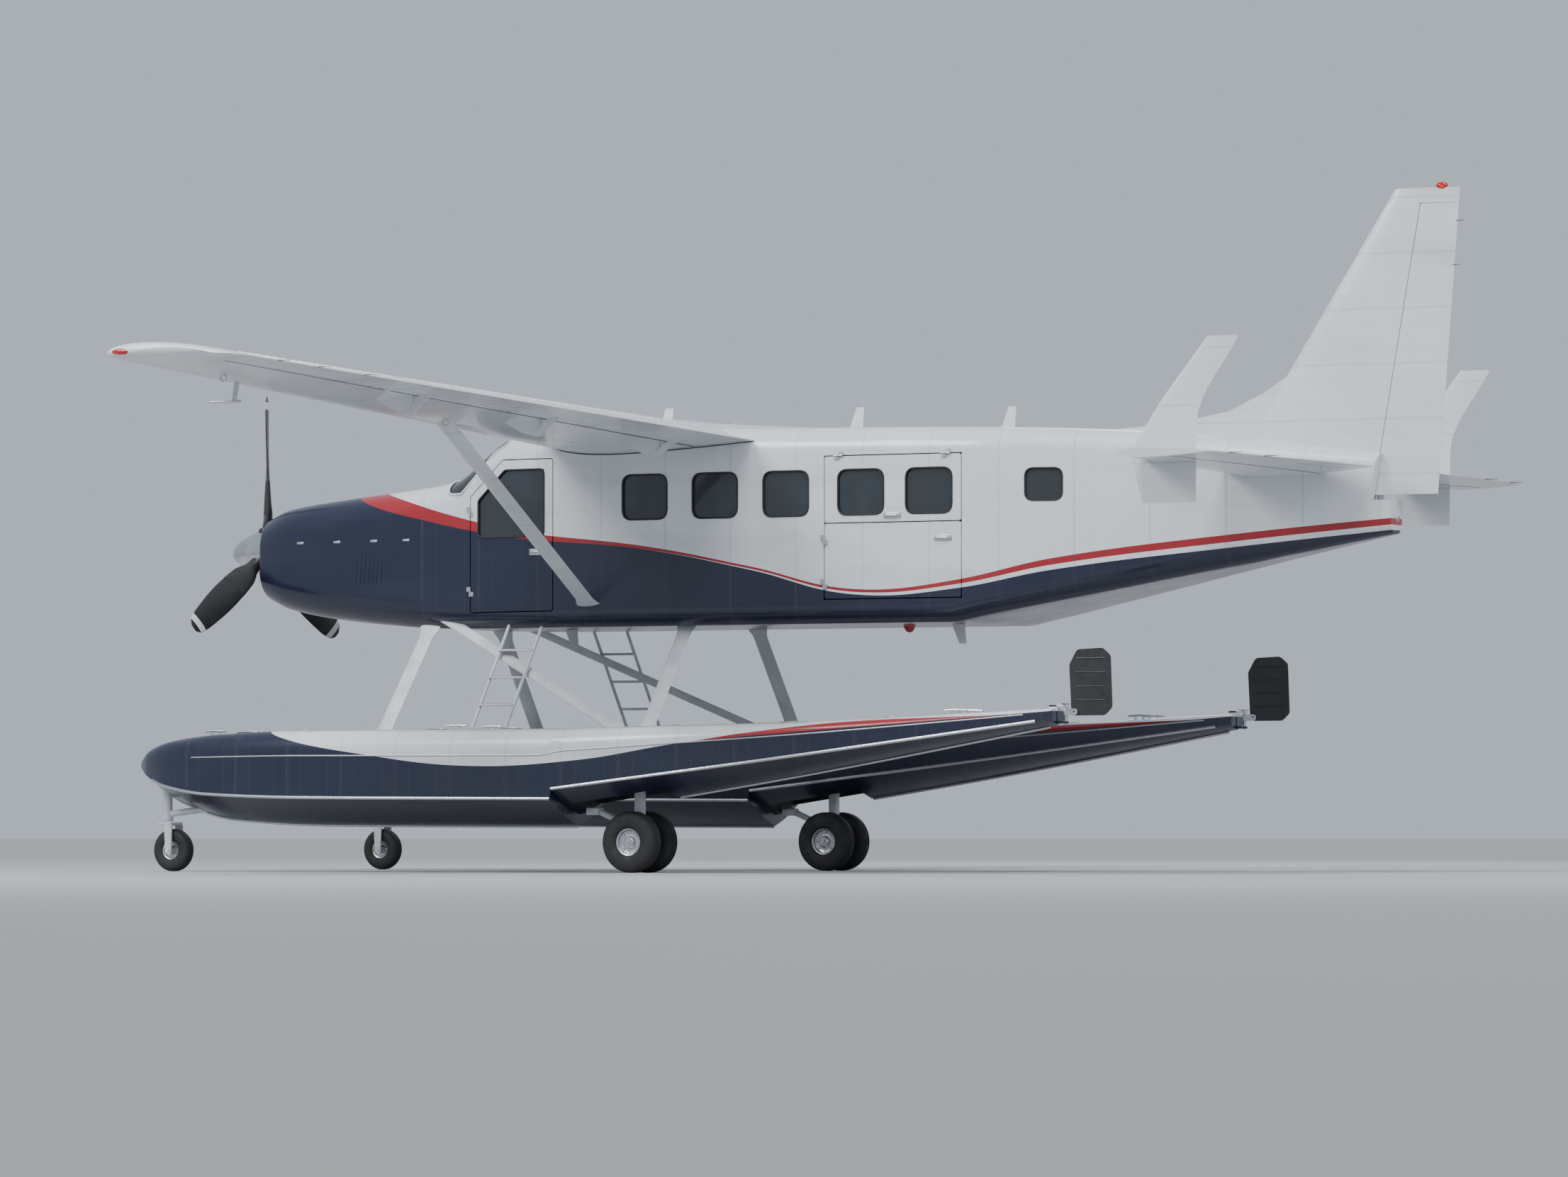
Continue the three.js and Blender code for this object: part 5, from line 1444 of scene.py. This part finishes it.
for label, side in sides:
    middle, post = side * floatMiddle, rudders["post"]
    postMesh, bladePlate = bmesh.new(), bmesh.new()
    for low, radius in zip((post["low"], post["cap"]), post["radii"]):
        addRod(postMesh, spot(post["aft"], middle, low), spot(post["aft"], middle, post["high"]), radius)
    addBlock(postMesh, middle, *rudders["block"])
    far, near, inner, outer, low, high, bevel = rudders["horn"]
    for way in (1, -1):
        addPlate(postMesh, rounded(rudders["cheek"], 0.02, 5),
                 *sorted(middle + way * y for y in rudders["cheekY"]))
        first, second = sorted((middle + way * inner, middle + way * outer))
        addBox(postMesh, spot(far, first, low), spot(near, second, high), bevel)
    finish(f"water_rudder_post_{label}_hinge", postMesh, bareAlloy, f"water_rudder_post_{label}",
           [f"water_rudder_post_{label}"], slot="polished_metal")
    addPlate(bladePlate, rounded(rudders["blade"], 0.05), middle - rudders["half"], middle + rudders["half"])
    front, back, radius = rudders["rib"]
    for up in rudders["ribs"]:
        for way in (1, -1):
            addRod(bladePlate, *[spot(aft, middle + way * radius, up) for aft in (front, back)], radius,
                   segments=10)
    liftSpot = spot(rudders["lift"][0], middle, rudders["lift"][1])
    for reach, radius in rudders["pins"]:
        addRod(bladePlate, *[liftSpot + end for end in acrossOf(-reach, reach)], radius)
    finish(f"water_rudder_blade_{label}_plate", bladePlate, composite, f"water_rudder_blade_{label}",
           [f"water_rudder_blade_{label}"])
print("water rudders ready")


# Glass: each pane follows the skin, a little below it, inside its own opening
glass = dict(
    depth=0.012, thick=0.006, room=0.05, fit=0.002, screen=(2.45, 3.25), rear=(7.9, 8.4),
    half=0.3, seal=dict(radius=0.0075, pitch=0.06, corner=0.05, proud=0.0005),
    frame=dict(radius=0.011, ridge=0.019, proud=0.001, ridgeProud=0.003, below=0.03,
               roofSteps=6, bendSteps=12, corner=3, ridgeSteps=8),
)


def paneOf(name, outline, reach, body, start, end, nodes=()):
    depth, room = glass["depth"], glass["room"]
    pane = finish(name, bodyMesh(start, end, -depth), glazing, body, nodes)
    carve(pane, toolOf(bodyMesh(start - room, end + room, -depth - glass["thick"])))
    carve(pane, prismTool(grown(outline, glass["fit"]), *reach), keep="INTERSECT")


paneOf("windscreen_pane", screenOutline, (-1, 1), airframe, *glass["screen"], ["windscreen"])
for label, side in sides:
    for k, aft in enumerate(cabin["fixed"]):
        paneOf(f"cabin_pane_{label}_{k + 1}", sideWindow(aft), reachOf(side), airframe,
               aft - glass["half"], aft + glass["half"], () if k else [f"cabin_glass_{label}"])
    paneOf(f"rear_pane_{label}", rearWindow, reachOf(side), airframe, *glass["rear"])
openings = {}
for name, side, outline, holes, start, end in doorTable:
    for k, hole in enumerate(holes):
        paneOf(f"{name}_pane_{k + 1}", hole, reachOf(side), name, start, end)
        openings.setdefault(name, []).append((hole, side))
openings[airframe] = [(outline, side) for _, side in sides
                      for outline in [*map(sideWindow, cabin["fixed"]), rearWindow]]
for body, holes in openings.items():
    seals, seal = bmesh.new(), glass["seal"]
    for outline, side in holes:
        outline = outline if len(outline) > 8 else rounded(outline, seal["corner"])
        points = [Vector(p) for p in outline]
        dense = []
        for p, q in zip(points, points[1:] + points[:1]):
            count = max(1, round((q - p).length / seal["pitch"]))
            dense += [p.lerp(q, k / count) for k in range(count)]
        addLoopStrip(seals, [skinSide(p.x, side, p.y, seal["proud"]) for p in dense], seal["radius"])
    finish(f"window_seals_{body}", seals, sealRubber, body, sharp=60)


# The skin's section at a station, from the middle of the roof out and down to a height
def overShoulder(aft, side, down):
    half, top, _, upper, _ = bodyRow(aft)
    edge, steps, proud = glass["frame"], glass["frame"]["bendSteps"], glass["frame"]["proud"]
    path = [skinTop(aft, side * (half - upper) * k / edge["roofSteps"], proud)
            for k in range(edge["roofSteps"])]
    for k in range(steps + 1):
        angle = pi / 2 * (1 - k / steps)
        up = top - upper + upper * sin(angle)
        if up > down + 0.01:
            path.append(spot(aft, side * (half - upper + (upper + proud) * cos(angle)), up))
    return path


screenTrim, edge = bmesh.new(), glass["frame"]
screenFront, screenBack = cabin["windscreen"][0][0], cabin["windscreen"][2][0]
sill = [(aft, up) for aft, up in screenOutline if up < bodyRow(aft)[1] - edge["below"]]
sill.sort(key=lambda point: (point[0], point[1] if point[0] > edge["corner"] else -point[1]))
for _, side in sides:
    path = overShoulder(screenFront, side, sill[0][1])
    path += [skinSide(aft, side, up, edge["proud"]) for aft, up in sill]
    addStrip(screenTrim, path + overShoulder(screenBack, side, sill[-1][1])[::-1], edge["radius"])
addStrip(screenTrim, [skinTop(aft, 0, edge["ridgeProud"]) for aft in
                      (screenFront + (screenBack - screenFront) * k / edge["ridgeSteps"]
                       for k in range(edge["ridgeSteps"] + 1))], edge["ridge"])
finish("windscreen_frame", screenTrim, bodyPaint, sharp=60)
print("glass ready")


# Hinges and handles of the doors
fitting = dict(
    knuckle=0.009, length=0.04, leaf=0.032, deep=0.034, slack=0.0005, inset=0.001,
    skinY=0.835 + 0.012, crewY=0.746, crewUps=(-0.43, 0.24), cargoUps=(-0.42, -0.06),
    fromFront=0.09, fromBack=0.17,
    handle=dict(length=0.13, plate=0.62, tall=0.026, thick=0.004, radius=0.0065,
                grip=[(-0.5, 0.002), (-0.36, 0.022), (0, 0.026), (0.36, 0.022), (0.5, 0.002)]),
)


# A knuckle and its leaf on the door, and the next on the frame, round an upright or a level pin
def addHinge(doorMesh, frameMesh, side, aft, y, up, leafWay, level):
    def at(along, across, y):
        return spot(aft + along, side * y, up + across) if level else spot(aft + across, side * y, up + along)

    length, inset = fitting["length"], fitting["inset"]
    for bm, start, end, way in ((doorMesh, 0, length, leafWay),
                                (frameMesh, length + fitting["slack"], 2 * length, -leafWay)):
        addRod(bm, at(start, 0, y), at(end, 0, y), fitting["knuckle"], segments=16)
        addBox(bm, at(start + inset, way * fitting["leaf"], y - fitting["deep"]),
               at(end - inset, 0, y))


def addHandle(bm, side, aft, up):
    handle, out = fitting["handle"], Vector((0, side, 0))
    at, length = skinSide(aft, side, up), handle["length"]
    reach, tall = length * handle["plate"], handle["tall"]
    addBox(bm, at - Vector((reach, 0.001, tall)), at + Vector((reach, 0, tall)) + out * handle["thick"],
           0.0015)
    addStrip(bm, [at + Vector((length * share, 0, 0)) + out * lift for share, lift in handle["grip"]],
             handle["radius"])


def uprightRow(front, y, ups):
    return [(front - halfGap, y, up, 1, False) for up in ups]


def levelRow(ends, up, way):
    return [(aft, fitting["skinY"], up, way, True)
            for aft in (ends[0] + fitting["fromFront"], ends[1] - fitting["fromBack"])]


cargo, airstair, split, frameHinges = cabin["cargo"], cabin["airstair"], cabin["split"], bmesh.new()
fittingTable = [
    *[(f"crew_door_{label}", side,
       uprightRow(cabin["crewDoor"][0][0], fitting["crewY"], fitting["crewUps"]), 3.5, -0.07)
      for label, side in sides],
    ("cargo_door_upper", 1, levelRow(cargo, cabin["top"] + halfGap, -1), sum(cargo) / 2, split + 0.055),
    ("passenger_door_upper", -1, levelRow(airstair, cabin["top"] + halfGap, -1), sum(airstair) / 2,
     split + 0.055),
    ("passenger_door_lower", -1, levelRow(airstair, cabin["low"] - halfGap, 1), sum(airstair) / 2,
     split - 0.07),
    ("cargo_door_lower", 1, uprightRow(cargo[0], fitting["skinY"], fitting["cargoUps"]),
     cargo[1] - 0.16, -0.02),
]
for name, side, hinges, handleAft, handleUp in fittingTable:
    mesh = bmesh.new()
    for place in hinges:
        addHinge(mesh, frameHinges, side, *place)
    addHandle(mesh, side, handleAft, handleUp)
    finish(f"{name}_fittings", mesh, bareAlloy, name)
finish("door_frame_hinges", frameHinges, bareAlloy)

# The stair on the inside of the lower passenger door: its treads lie level when the door hangs open
stair = dict(
    rises=[0.1, 0.28, 0.46], depth=0.17, thick=0.016, margin=0.12, open=150,
    sunk=0.012, grit=(0.02, 0.012, 0.0025), gusset=[(-0.012, 0.012), (0.115, 0.012), (0.038, 0.085)],
    web=0.006, inset=0.045, y=-(0.835 - fuselage["wall"] + 0.002),
)
treads, grit = bmesh.new(), bmesh.new()
front, back = airstair[0] + stair["margin"], airstair[1] - stair["margin"]
run, web, (past, rim, rise) = front - back, stair["web"], stair["grit"]
tilt = Matrix.Rotation(radians(180 - stair["open"]), 4, "X")
for height in stair["rises"]:
    step, cover = bmesh.new(), bmesh.new()
    addBox(step, (0, -stair["sunk"], 0), (run, stair["depth"], stair["thick"]), 0.005)
    for x in (-stair["inset"], run / 2, run + stair["inset"]):
        addPrism(step, [(x - web / 2, y, z) for y, z in stair["gusset"]], (web, 0, 0))
    addBox(cover, (-past, rim, -rise), (run + past, stair["depth"] - rim, 0.002))
    place = Matrix.Translation(spot(front, stair["y"], cabin["low"] + height)) @ tilt
    for target, part in ((treads, step), (grit, cover)):
        bmesh.ops.transform(part, matrix=place, verts=part.verts)
        joinInto(target, part)
finish("stair_treads", treads, bareAlloy, "passenger_door_lower")
finish("stair_grit", grit, walkway, "passenger_door_lower")
print("door fittings ready")


# Inside: seats with padded cushions, the instrument panel, control wheels and the floor's covering
cabinFloor = -0.7 + fuselage["floor"] + fuselage["seam"]
seats = dict(
    spots=[(3.23, 0.33), (3.23, -0.33),
           *[(aft, y) for aft in (4.3, 5.15, 6) for y in (0.36, -0.36)]],
    cushion=dict(front=0.007, depth=0.425, half=0.205, low=0.242, high=0.368, line=0.068),
    back=dict(front=0.372, depth=0.068, half=0.19, low=0.372, high=0.945, line=0.062,
              lean=0.085, across=0.7),
    legs=(0.08, 0.34), legY=(0.16, 0.15), legTop=0.24, leg=0.012,
    rail=dict(length=0.42, y=0.16, half=0.012, tall=0.02, bevel=0.004),
)
padding = dict(
    voxel=0.009, pressure=4, frames=20, cap=0.013, crown=0.01, cuts=7,
    pull=(0.03, 0.05), channel=0.0045, width=0.009,
)


# A pad's plain form: a box whose faces are crowned a little and whose sides pull in between the corners
def padForm(size, lean=0):
    low = spot(size["front"] + size["depth"], -size["half"], cabinFloor + size["low"])
    high = spot(size["front"], size["half"], cabinFloor + size["high"])
    bm = bmesh.new()
    addBox(bm, low, high)
    bmesh.ops.subdivide_edges(bm, edges=bm.edges[:], cuts=padding["cuts"], use_grid_fill=True)
    centre, half = (low + high) / 2, (high - low) / 2
    flat = min(range(3), key=lambda axis: abs(half[axis]))
    wide = [axis for axis in range(3) if axis != flat]
    across, through = padding["pull"]
    for vert in bm.verts:
        share = [(vert.co[axis] - centre[axis]) / half[axis] for axis in range(3)]
        swell = (1 - share[wide[0]] ** 2) * (1 - share[wide[1]] ** 2)
        rel = vert.co - centre
        outward = copysign(min(abs(share[flat]), 1), half[flat] * share[flat])
        rel[flat] += padding["crown"] * swell * outward
        for axis, other in (wide, wide[::-1]):
            rel[axis] *= 1 - across * share[other] ** 2 - through * share[flat] ** 2
        rel.x -= lean * (share[2] * copysign(1, half[2]) + 1) / 2
        vert.co = centre + rel
    return bm


# The form remeshed evenly and inflated as cloth, with a cap on how far any point moves
def inflated(bm):
    mesh = bpy.data.meshes.new("pad")
    bm.to_mesh(mesh)
    pad = bpy.data.objects.new("pad", mesh)
    bpy.context.collection.objects.link(pad)
    remesh = pad.modifiers.new("remesh", "REMESH")
    remesh.mode, remesh.voxel_size = "VOXEL", padding["voxel"]
    applied(pad)
    cloth = pad.modifiers.new("cloth", "CLOTH")
    cloth.settings.use_pressure = True
    cloth.settings.uniform_pressure_force = padding["pressure"]
    cloth.settings.effector_weights.gravity = 0
    for moment in range(1, padding["frames"] + 1):
        bpy.context.scene.frame_set(moment)
    swollen = pad.evaluated_get(bpy.context.evaluated_depsgraph_get()).to_mesh()
    moves = [new.co - old.co for new, old in zip(swollen.vertices, pad.data.vertices)]
    pad.modifiers.remove(cloth)
    bpy.context.scene.frame_set(1)
    for vert, move in zip(pad.data.vertices, moves):
        vert.co += move * min(1, padding["cap"] / max(move.length, 1e-6))
    result = bmesh.new()
    result.from_mesh(pad.data)
    bpy.data.objects.remove(pad)
    return result


# Sewn channels: the skin is drawn in along lines, each given as how far a point is from it
def sewn(bm, *lines):
    bm.normal_update()
    for vert in bm.verts:
        near = min(abs(line(vert)) for line in lines)
        vert.co -= vert.normal * padding["channel"] * exp(-((near / padding["width"]) ** 2))
    return bm


cushion, rest = seats["cushion"], seats["back"]
cushionMid = cabinFloor + (cushion["low"] + cushion["high"]) / 2 + axisUp
cushionForm = sewn(inflated(padForm(cushion)),
                   lambda vert: abs(vert.co.y) - cushion["line"] if vert.normal.z > 0.5 else 1,
                   lambda vert: vert.co.z - cushionMid if abs(vert.normal.z) < 0.6 else 1)
backForm = sewn(inflated(padForm(rest, rest["lean"])),
                lambda vert: abs(vert.co.y) - rest["line"] if vert.normal.x > 0.5 else 1,
                lambda vert: vert.co.z - axisUp - cabinFloor - rest["across"] if abs(vert.normal.x) > 0.5
                else 1)


def seatPad(name, form, aft, y, nodes=()):
    bm = form.copy()
    bmesh.ops.translate(bm, verts=bm.verts, vec=Vector((-aft, y, 0)))
    finish(name, bm, leather, nodes=nodes, sharp=70)


frames, rail = bmesh.new(), seats["rail"]
for k, (aft, y) in enumerate(seats["spots"]):
    seatPad(f"seat_{k + 1}_cushion", cushionForm, aft, y, {0: ["crew_seats"], 2: ["cabin_seats"]}.get(k, ()))
    seatPad(f"seat_{k + 1}_back", backForm, aft, y)
    for way in (-1, 1):
        foot, top = [y + way * out for out in seats["legY"]]
        for front in seats["legs"]:
            addRod(frames, spot(aft + front, foot, cabinFloor),
                   spot(aft + front, top, cabinFloor + seats["legTop"]), seats["leg"], segments=12)
        addBlock(frames, y + way * rail["y"], aft + rail["length"], aft, rail["half"], cabinFloor,
                 cabinFloor + rail["tall"], rail["bevel"])
finish("seat_frames", frames, darkMetal)

furnishing = dict(
    cover=dict(start=2.36, length=4.9, rows=12, inset=0.12, thick=0.004),
    boards=[(2.7, 2.64, 0.56, -0.06, 0.3, 0.02), (2.72, 2.56, 0.58, 0.3, 0.335, 0.014),
            (2.76, 2.6, 0.13, -0.6095, -0.02, 0.02)],
    dialAft=2.7, dialYs=(-0.46, -0.34, -0.22, 0.22, 0.34, 0.46), dialUps=(0.08, 0.2),
    dial=[(0, 0), (0, 0.046), (0.008, 0.046), (0.008, 0.04), (0.003, 0.038), (0.003, 0)],
    needle=(2.7045, 2.7035, 0.0018, 0.03), screens=(-0.09, 0.09),
    screen=(2.705, 2.699, 0.075, 0.02, 0.2, 0.003),
    wheels=(-0.33, 0.33), column=((2.7, -0.02), (2.86, 0), 0.012), wheelAft=2.865, grip=0.014,
    wheel=[(-0.14, 0.09), (-0.155, 0.03), (-0.13, -0.02), (-0.05, -0.03), (0, -0.01), (0.05, -0.03),
           (0.13, -0.02), (0.155, 0.03), (0.14, 0.09)],
)


def coverAt(column, row):
    cover = furnishing["cover"]
    aft = cover["start"] + cover["length"] * row / cover["rows"]
    way, lift = ((-1, 0), (1, 0), (1, cover["thick"]), (-1, cover["thick"]))[column]
    return spot(aft, way * (bodyRow(aft)[0] - cover["inset"]), cabinFloor + lift)


dash, dials, faces, yokes = [bmesh.new() for _ in range(4)]
finish("floor_cover", gridMesh(4, furnishing["cover"]["rows"], coverAt), trimGrey)
for board in furnishing["boards"]:
    addBlock(dash, 0, *board)
finish("dash_board", dash, panelBlack, nodes=["instrument_panel"])
far, near, half, tall = furnishing["needle"]
for y in furnishing["dialYs"]:
    for up in furnishing["dialUps"]:
        addTurned(dials, spot(furnishing["dialAft"], y, up), (-1, 0, 0), furnishing["dial"], 24)
        addBlock(faces, y, far, near, half, up, up + tall, 0)
for y in furnishing["screens"]:
    addBlock(faces, y, *furnishing["screen"])
finish("dial_rims", dials, darkMetal)
finish("dial_faces", faces, trimGrey)
(frontAft, frontUp), (backAft, backUp), radius = furnishing["column"]
for y in furnishing["wheels"]:
    addRod(yokes, spot(frontAft, y, frontUp), spot(backAft, y, backUp), radius)
    addStrip(yokes, [spot(furnishing["wheelAft"], y + out, up) for out, up in furnishing["wheel"]],
             furnishing["grip"])
finish("control_wheels", yokes, panelBlack)
print("inside ready")


# Lights, aerials, probes, ladders and other small fittings that such an aircraft carries
aerial = dict(
    rows=8, steps=16, taper=0.45, rake=0.35, half=0.006, thin=0.5, sunk=0.003,
    roof=[4.25, 6.05, 7.45], belly=[3.35, 7],
)


def addAerial(bm, base, height, chord, way):
    def at(column, row):
        share = row / aerial["rows"]
        turn = tau * column / aerial["steps"]
        width, half = chord * (1 - aerial["taper"] * share), aerial["half"] * (1 - aerial["thin"] * share)
        return base + Vector((width / 2 * cos(turn) - aerial["rake"] * chord * share,
                              half * sin(turn), way * height * share))
    skinGrid(bm, aerial["steps"], aerial["rows"], at)


aerials = bmesh.new()
for aft in aerial["roof"]:
    addAerial(aerials, skinTop(aft, 0, -aerial["sunk"]), 0.2, 0.13, 1)
for aft in aerial["belly"]:
    addAerial(aerials, spot(aft, 0, bodyRow(aft)[2] + aerial["sunk"]), 0.16, 0.12, -1)
finish("blade_aerials", aerials, markWhite, sharp=50)

lamps = dict(
    port_lamp=(redLens, (3.985, halfSpan - 0.035, 1.185), 0.045, (2.1, 0.62, 0.52), 24, 60),
    starboard_lamp=(greenLens, (3.985, 0.035 - halfSpan, 1.185), 0.045, (2.1, 0.62, 0.52), 24, 60),
    beacons=(redLens, (11.3, 0, 2.735), 0.04, (1.3, 0.8, 0.8), 24, 50),
    tail_lamp=(clearLens, (10.905, 0, 0.09), 0.03, (0.9, 0.9, 0.9), 20, 60),
)
bellyBeacon = dict(
    aft=6.55, sunk=0.004,
    profile=[(0, 0), (0, 0.052), (0.012, 0.052), (0.03, 0.044), (0.055, 0.028), (0.066, 0)],
)
for name, (lens, place, radius, scale, steps, sharp) in lamps.items():
    bm = bmesh.new()
    addBall(bm, spot(*place), radius, scale, steps)
    if name == "beacons":
        aft, profile = bellyBeacon["aft"], bellyBeacon["profile"]
        addTurned(bm, spot(aft, 0, bodyRow(aft)[2] + bellyBeacon["sunk"]), (0, 0, -1), profile, 32)
    finish(name, bm, lens, sharp=sharp)


# A clear cover over the landing lamp in each wing's leading edge
lampCover = dict(
    start=5.62, length=0.42, columns=12, rows=8, proud=0.0025, inner=0.004, step=0.012,
    shares=[0.055, 0.03, 0.012, 0.003, 0, 0.003, 0.012, 0.03, 0.055],
)


def lampCoverAt(side):
    def at(column, row):
        shares, last = lampCover["shares"], lampCover["columns"]
        span = lampCover["start"] + lampCover["length"] * row / lampCover["rows"]
        if column < len(shares):
            place = foilSpot("wing", span, shares[column], 1 if column <= len(shares) // 2 else -1)
            return onWing(side)(Vector((place.x - lampCover["proud"], place.y)), span)
        share = shares[-1] - lampCover["step"] * (last - column)
        place = foilSpot("wing", span, share, -1 if column < last - 1 else 1)
        return onWing(side)(Vector((place.x + lampCover["inner"], place.y)), span)
    return at


for label, side in sides:
    cover = gridMesh(lampCover["columns"], lampCover["rows"], lampCoverAt(side))
    finish(f"lamp_cover_{label}", cover, clearLens, sharp=50)


# Pitot tube, fuel caps and tie-down rings on the wing's skin
wingFittings = dict(
    pitot=(6.4, 0.22), mast=(0.01, 0.03, -0.15, 0.045, 0.014), probe=(-0.03, 0.24, 0.012, 0.008),
    capSpans=[1.25, 4.3], capShare=0.34, capSunk=0.004,
    cap=[(0, 0), (0, 0.05), (0.008, 0.05), (0.012, 0.044), (0.012, 0.016), (0.018, 0.012), (0.018, 0)],
    ringSpans=[3.62, 6.9], ringShare=0.36, ring=(0.026, 0.028, 0.005, 20),
)


def skinAt(surface, span, share, face, side):
    return onWing(side)(foilSpot(surface, span, share, face), span)


probe, caps, rings = bmesh.new(), bmesh.new(), bmesh.new()
span, share = wingFittings["pitot"]
mast = skinAt("wing", span, share, -1, 1)
sunk, lean, down, chord, depth = wingFittings["mast"]
addStrut(probe, mast + Vector((0, 0, sunk)), mast + Vector((lean, 0, down)), chord, depth, (False, False))
back, front, *radii = wingFittings["probe"]
addRod(probe, mast + Vector((back, 0, down)), mast + Vector((front, 0, down)), *radii)
finish("pitot_tube", probe, bareAlloy)
radius, below, wire, steps = wingFittings["ring"]
turns = [tau * k / steps for k in range(steps)]
for _, side in sides:
    for span in wingFittings["capSpans"]:
        base = skinAt("wing", span, wingFittings["capShare"], 1, side)
        addTurned(caps, base - Vector((0, 0, wingFittings["capSunk"])), (0, 0, 1), wingFittings["cap"], 32)
    for span in wingFittings["ringSpans"]:
        base = skinAt("wing", span, wingFittings["ringShare"], -1, side)
        addLoopStrip(rings, [base + Vector((radius * cos(turn), 0, radius * sin(turn) - below))
                             for turn in turns], wire)
finish("fuel_caps", caps, bareAlloy)
finish("tie_down_rings", rings, bareAlloy, sharp=60)


# Static wicks at the trailing edges
def wicksOf(name, body, ends):
    bm = bmesh.new()
    for start, end in ends:
        addRod(bm, start, end, 0.0042, 0.0018, 8)
    finish(name, bm, composite, body)


def trailing(surface, span, placing, length=0.11):
    at = placing((foilSpot(surface, span, 1, 1) + foilSpot(surface, span, 1, -1)) / 2, span)
    return at + Vector((0.012, 0, 0)), at - Vector((length, 0, 0))


for label, side in sides:
    wicksOf(f"aileron_wicks_{label}", f"aileron_{label}",
            [trailing("wing", span, onWing(side)) for span in (6.3, 6.9, 7.4)])
wicksOf("elevator_wicks", "elevator",
        [trailing("stabilizer", span, onWing(side)) for _, side in sides for span in (2.2, 2.8)])
wicksOf("rudder_wicks", "rudder", [trailing("fin", span, onFin, 0.05) for span in (2.1, 2.45)])

# Boarding ladders between the floats' decks and the crew doors
ladder = dict(
    aft=3.32, top=(0.7, -0.655), foot=(1.33, -1.545), half=0.16, rail=0.014,
    joints=(0, 0.3, 0.7, 1), shares=(0.26, 0.52, 0.78), step=(0.16, 0.035, 0.009, 0.004),
    shoe=[(0, 0), (0, 0.034), (0.01, 0.034), (0.016, 0.018), (0.016, 0)], shoeLow=0.016,
    pad=(0.14, 0.028, 0.001, 0.0015), padUp=0.0095,
)
for label, side in sides:
    steps, pads = bmesh.new(), bmesh.new()
    top, foot = [spot(ladder["aft"], side * y, up) for y, up in (ladder["top"], ladder["foot"])]
    for shift in (-ladder["half"], ladder["half"]):
        rail = Vector((shift, 0, 0))
        addStrip(steps, [top.lerp(foot, share) + rail for share in ladder["joints"]], ladder["rail"])
        addTurned(steps, foot + rail - Vector((0, 0, ladder["shoeLow"])), (0, 0, 1), ladder["shoe"], 20)
    for share in ladder["shares"]:
        at = top.lerp(foot, share)
        *half, bevel = ladder["step"]
        addBox(steps, at - Vector(half), at + Vector(half), bevel)
        at += Vector((0, 0, ladder["padUp"]))
        x, y, below, above = ladder["pad"]
        addBox(pads, at - Vector((x, y, below)), at + Vector((x, y, above)))
    finish(f"boarding_ladder_{label}", steps, strutPaint)
    finish(f"ladder_pads_{label}", pads, walkway)

# The hinge line and horn of the elevator's trim tabs
tab = dict(share=0.86, spans=(0.5, 1.35), radius=0.0035, horn=0.9)
tabs = bmesh.new()
for _, side in sides:
    for face in (1, -1):
        ends = [skinAt("stabilizer", span, tab["share"], face, side) for span in tab["spans"]]
        addRod(tabs, *ends, tab["radius"], segments=8)
    horn = skinAt("stabilizer", tab["horn"], tab["share"], -1, side)
    addRod(tabs, horn, horn + Vector((0.01, 0, -0.045)), 0.006, 0.004, 8)
finish("trim_tab_hinges", tabs, bareAlloy, "elevator")
print("fittings ready")


# Floor, light and camera
studio = dict(
    azimuth=207.7, height=0.35, distance=62, lens=172, aim=(0.35, 0, 2.35),
    apron=[(0.375, 0.382, 0.392), (0.36, 0.367, 0.377)], reach=220, far=500,
    sky=(0.62, 0.7, 0.8, 1), skyPower=0.8, sun=(32, 0, 205), sunPower=2.2, sunAngle=30,
    lights=dict(key=((8, 16, 14), 8, 2600), fill=((-16, 6, 9), 10, 700), rim=((3, -18, 12), 9, 900)),
    lightAim=(0, 0, 2),
)
floorMesh = bmesh.new()
bmesh.ops.create_circle(floorMesh, cap_ends=True, segments=64, radius=studio["reach"])
apron, tree, shader = newMaterial("apron_concrete")
coloured(tree, shader, mixed(tree, between(tree, noiseOf(tree, 0.12, 2), 0.3, 0.7), *studio["apron"]))
rougher(tree, shader, 0.9, 0.92, 0.2)
finish("floor", floorMesh, apron, None)
world = bpy.data.worlds.new("sky")
world.use_nodes = True
background = world.node_tree.nodes["Background"].inputs
background["Color"].default_value, background["Strength"].default_value = studio["sky"], studio["skyPower"]
bpy.context.scene.world = world


# Puts a light or the camera in the scene, turned to its aim when it has one
def placed(name, data, place, aim=None):
    holder = bpy.data.objects.new(name, data)
    holder.location = place
    if aim:
        holder.rotation_euler = (Vector(aim) - Vector(place)).to_track_quat("-Z", "Y").to_euler()
    bpy.context.collection.objects.link(holder)
    return holder


for name, (place, size, power) in studio["lights"].items():
    soft = bpy.data.lights.new(name, "AREA")
    soft.shape, soft.size, soft.energy = "DISK", size, power
    placed(name, soft, place, studio["lightAim"])
daylight = bpy.data.lights.new("daylight", "SUN")
daylight.energy, daylight.angle = studio["sunPower"], radians(studio["sunAngle"])
placed("daylight", daylight, (0, 0, 0)).rotation_euler = list(map(radians, studio["sun"]))
camera = bpy.data.cameras.new("camera")
camera.lens, camera.clip_end = studio["lens"], studio["far"]
bearing, distance = radians(studio["azimuth"]), studio["distance"]
viewpoint = (sin(bearing) * distance, -cos(bearing) * distance, studio["height"])
bpy.context.scene.camera = placed("camera", camera, viewpoint, studio["aim"])
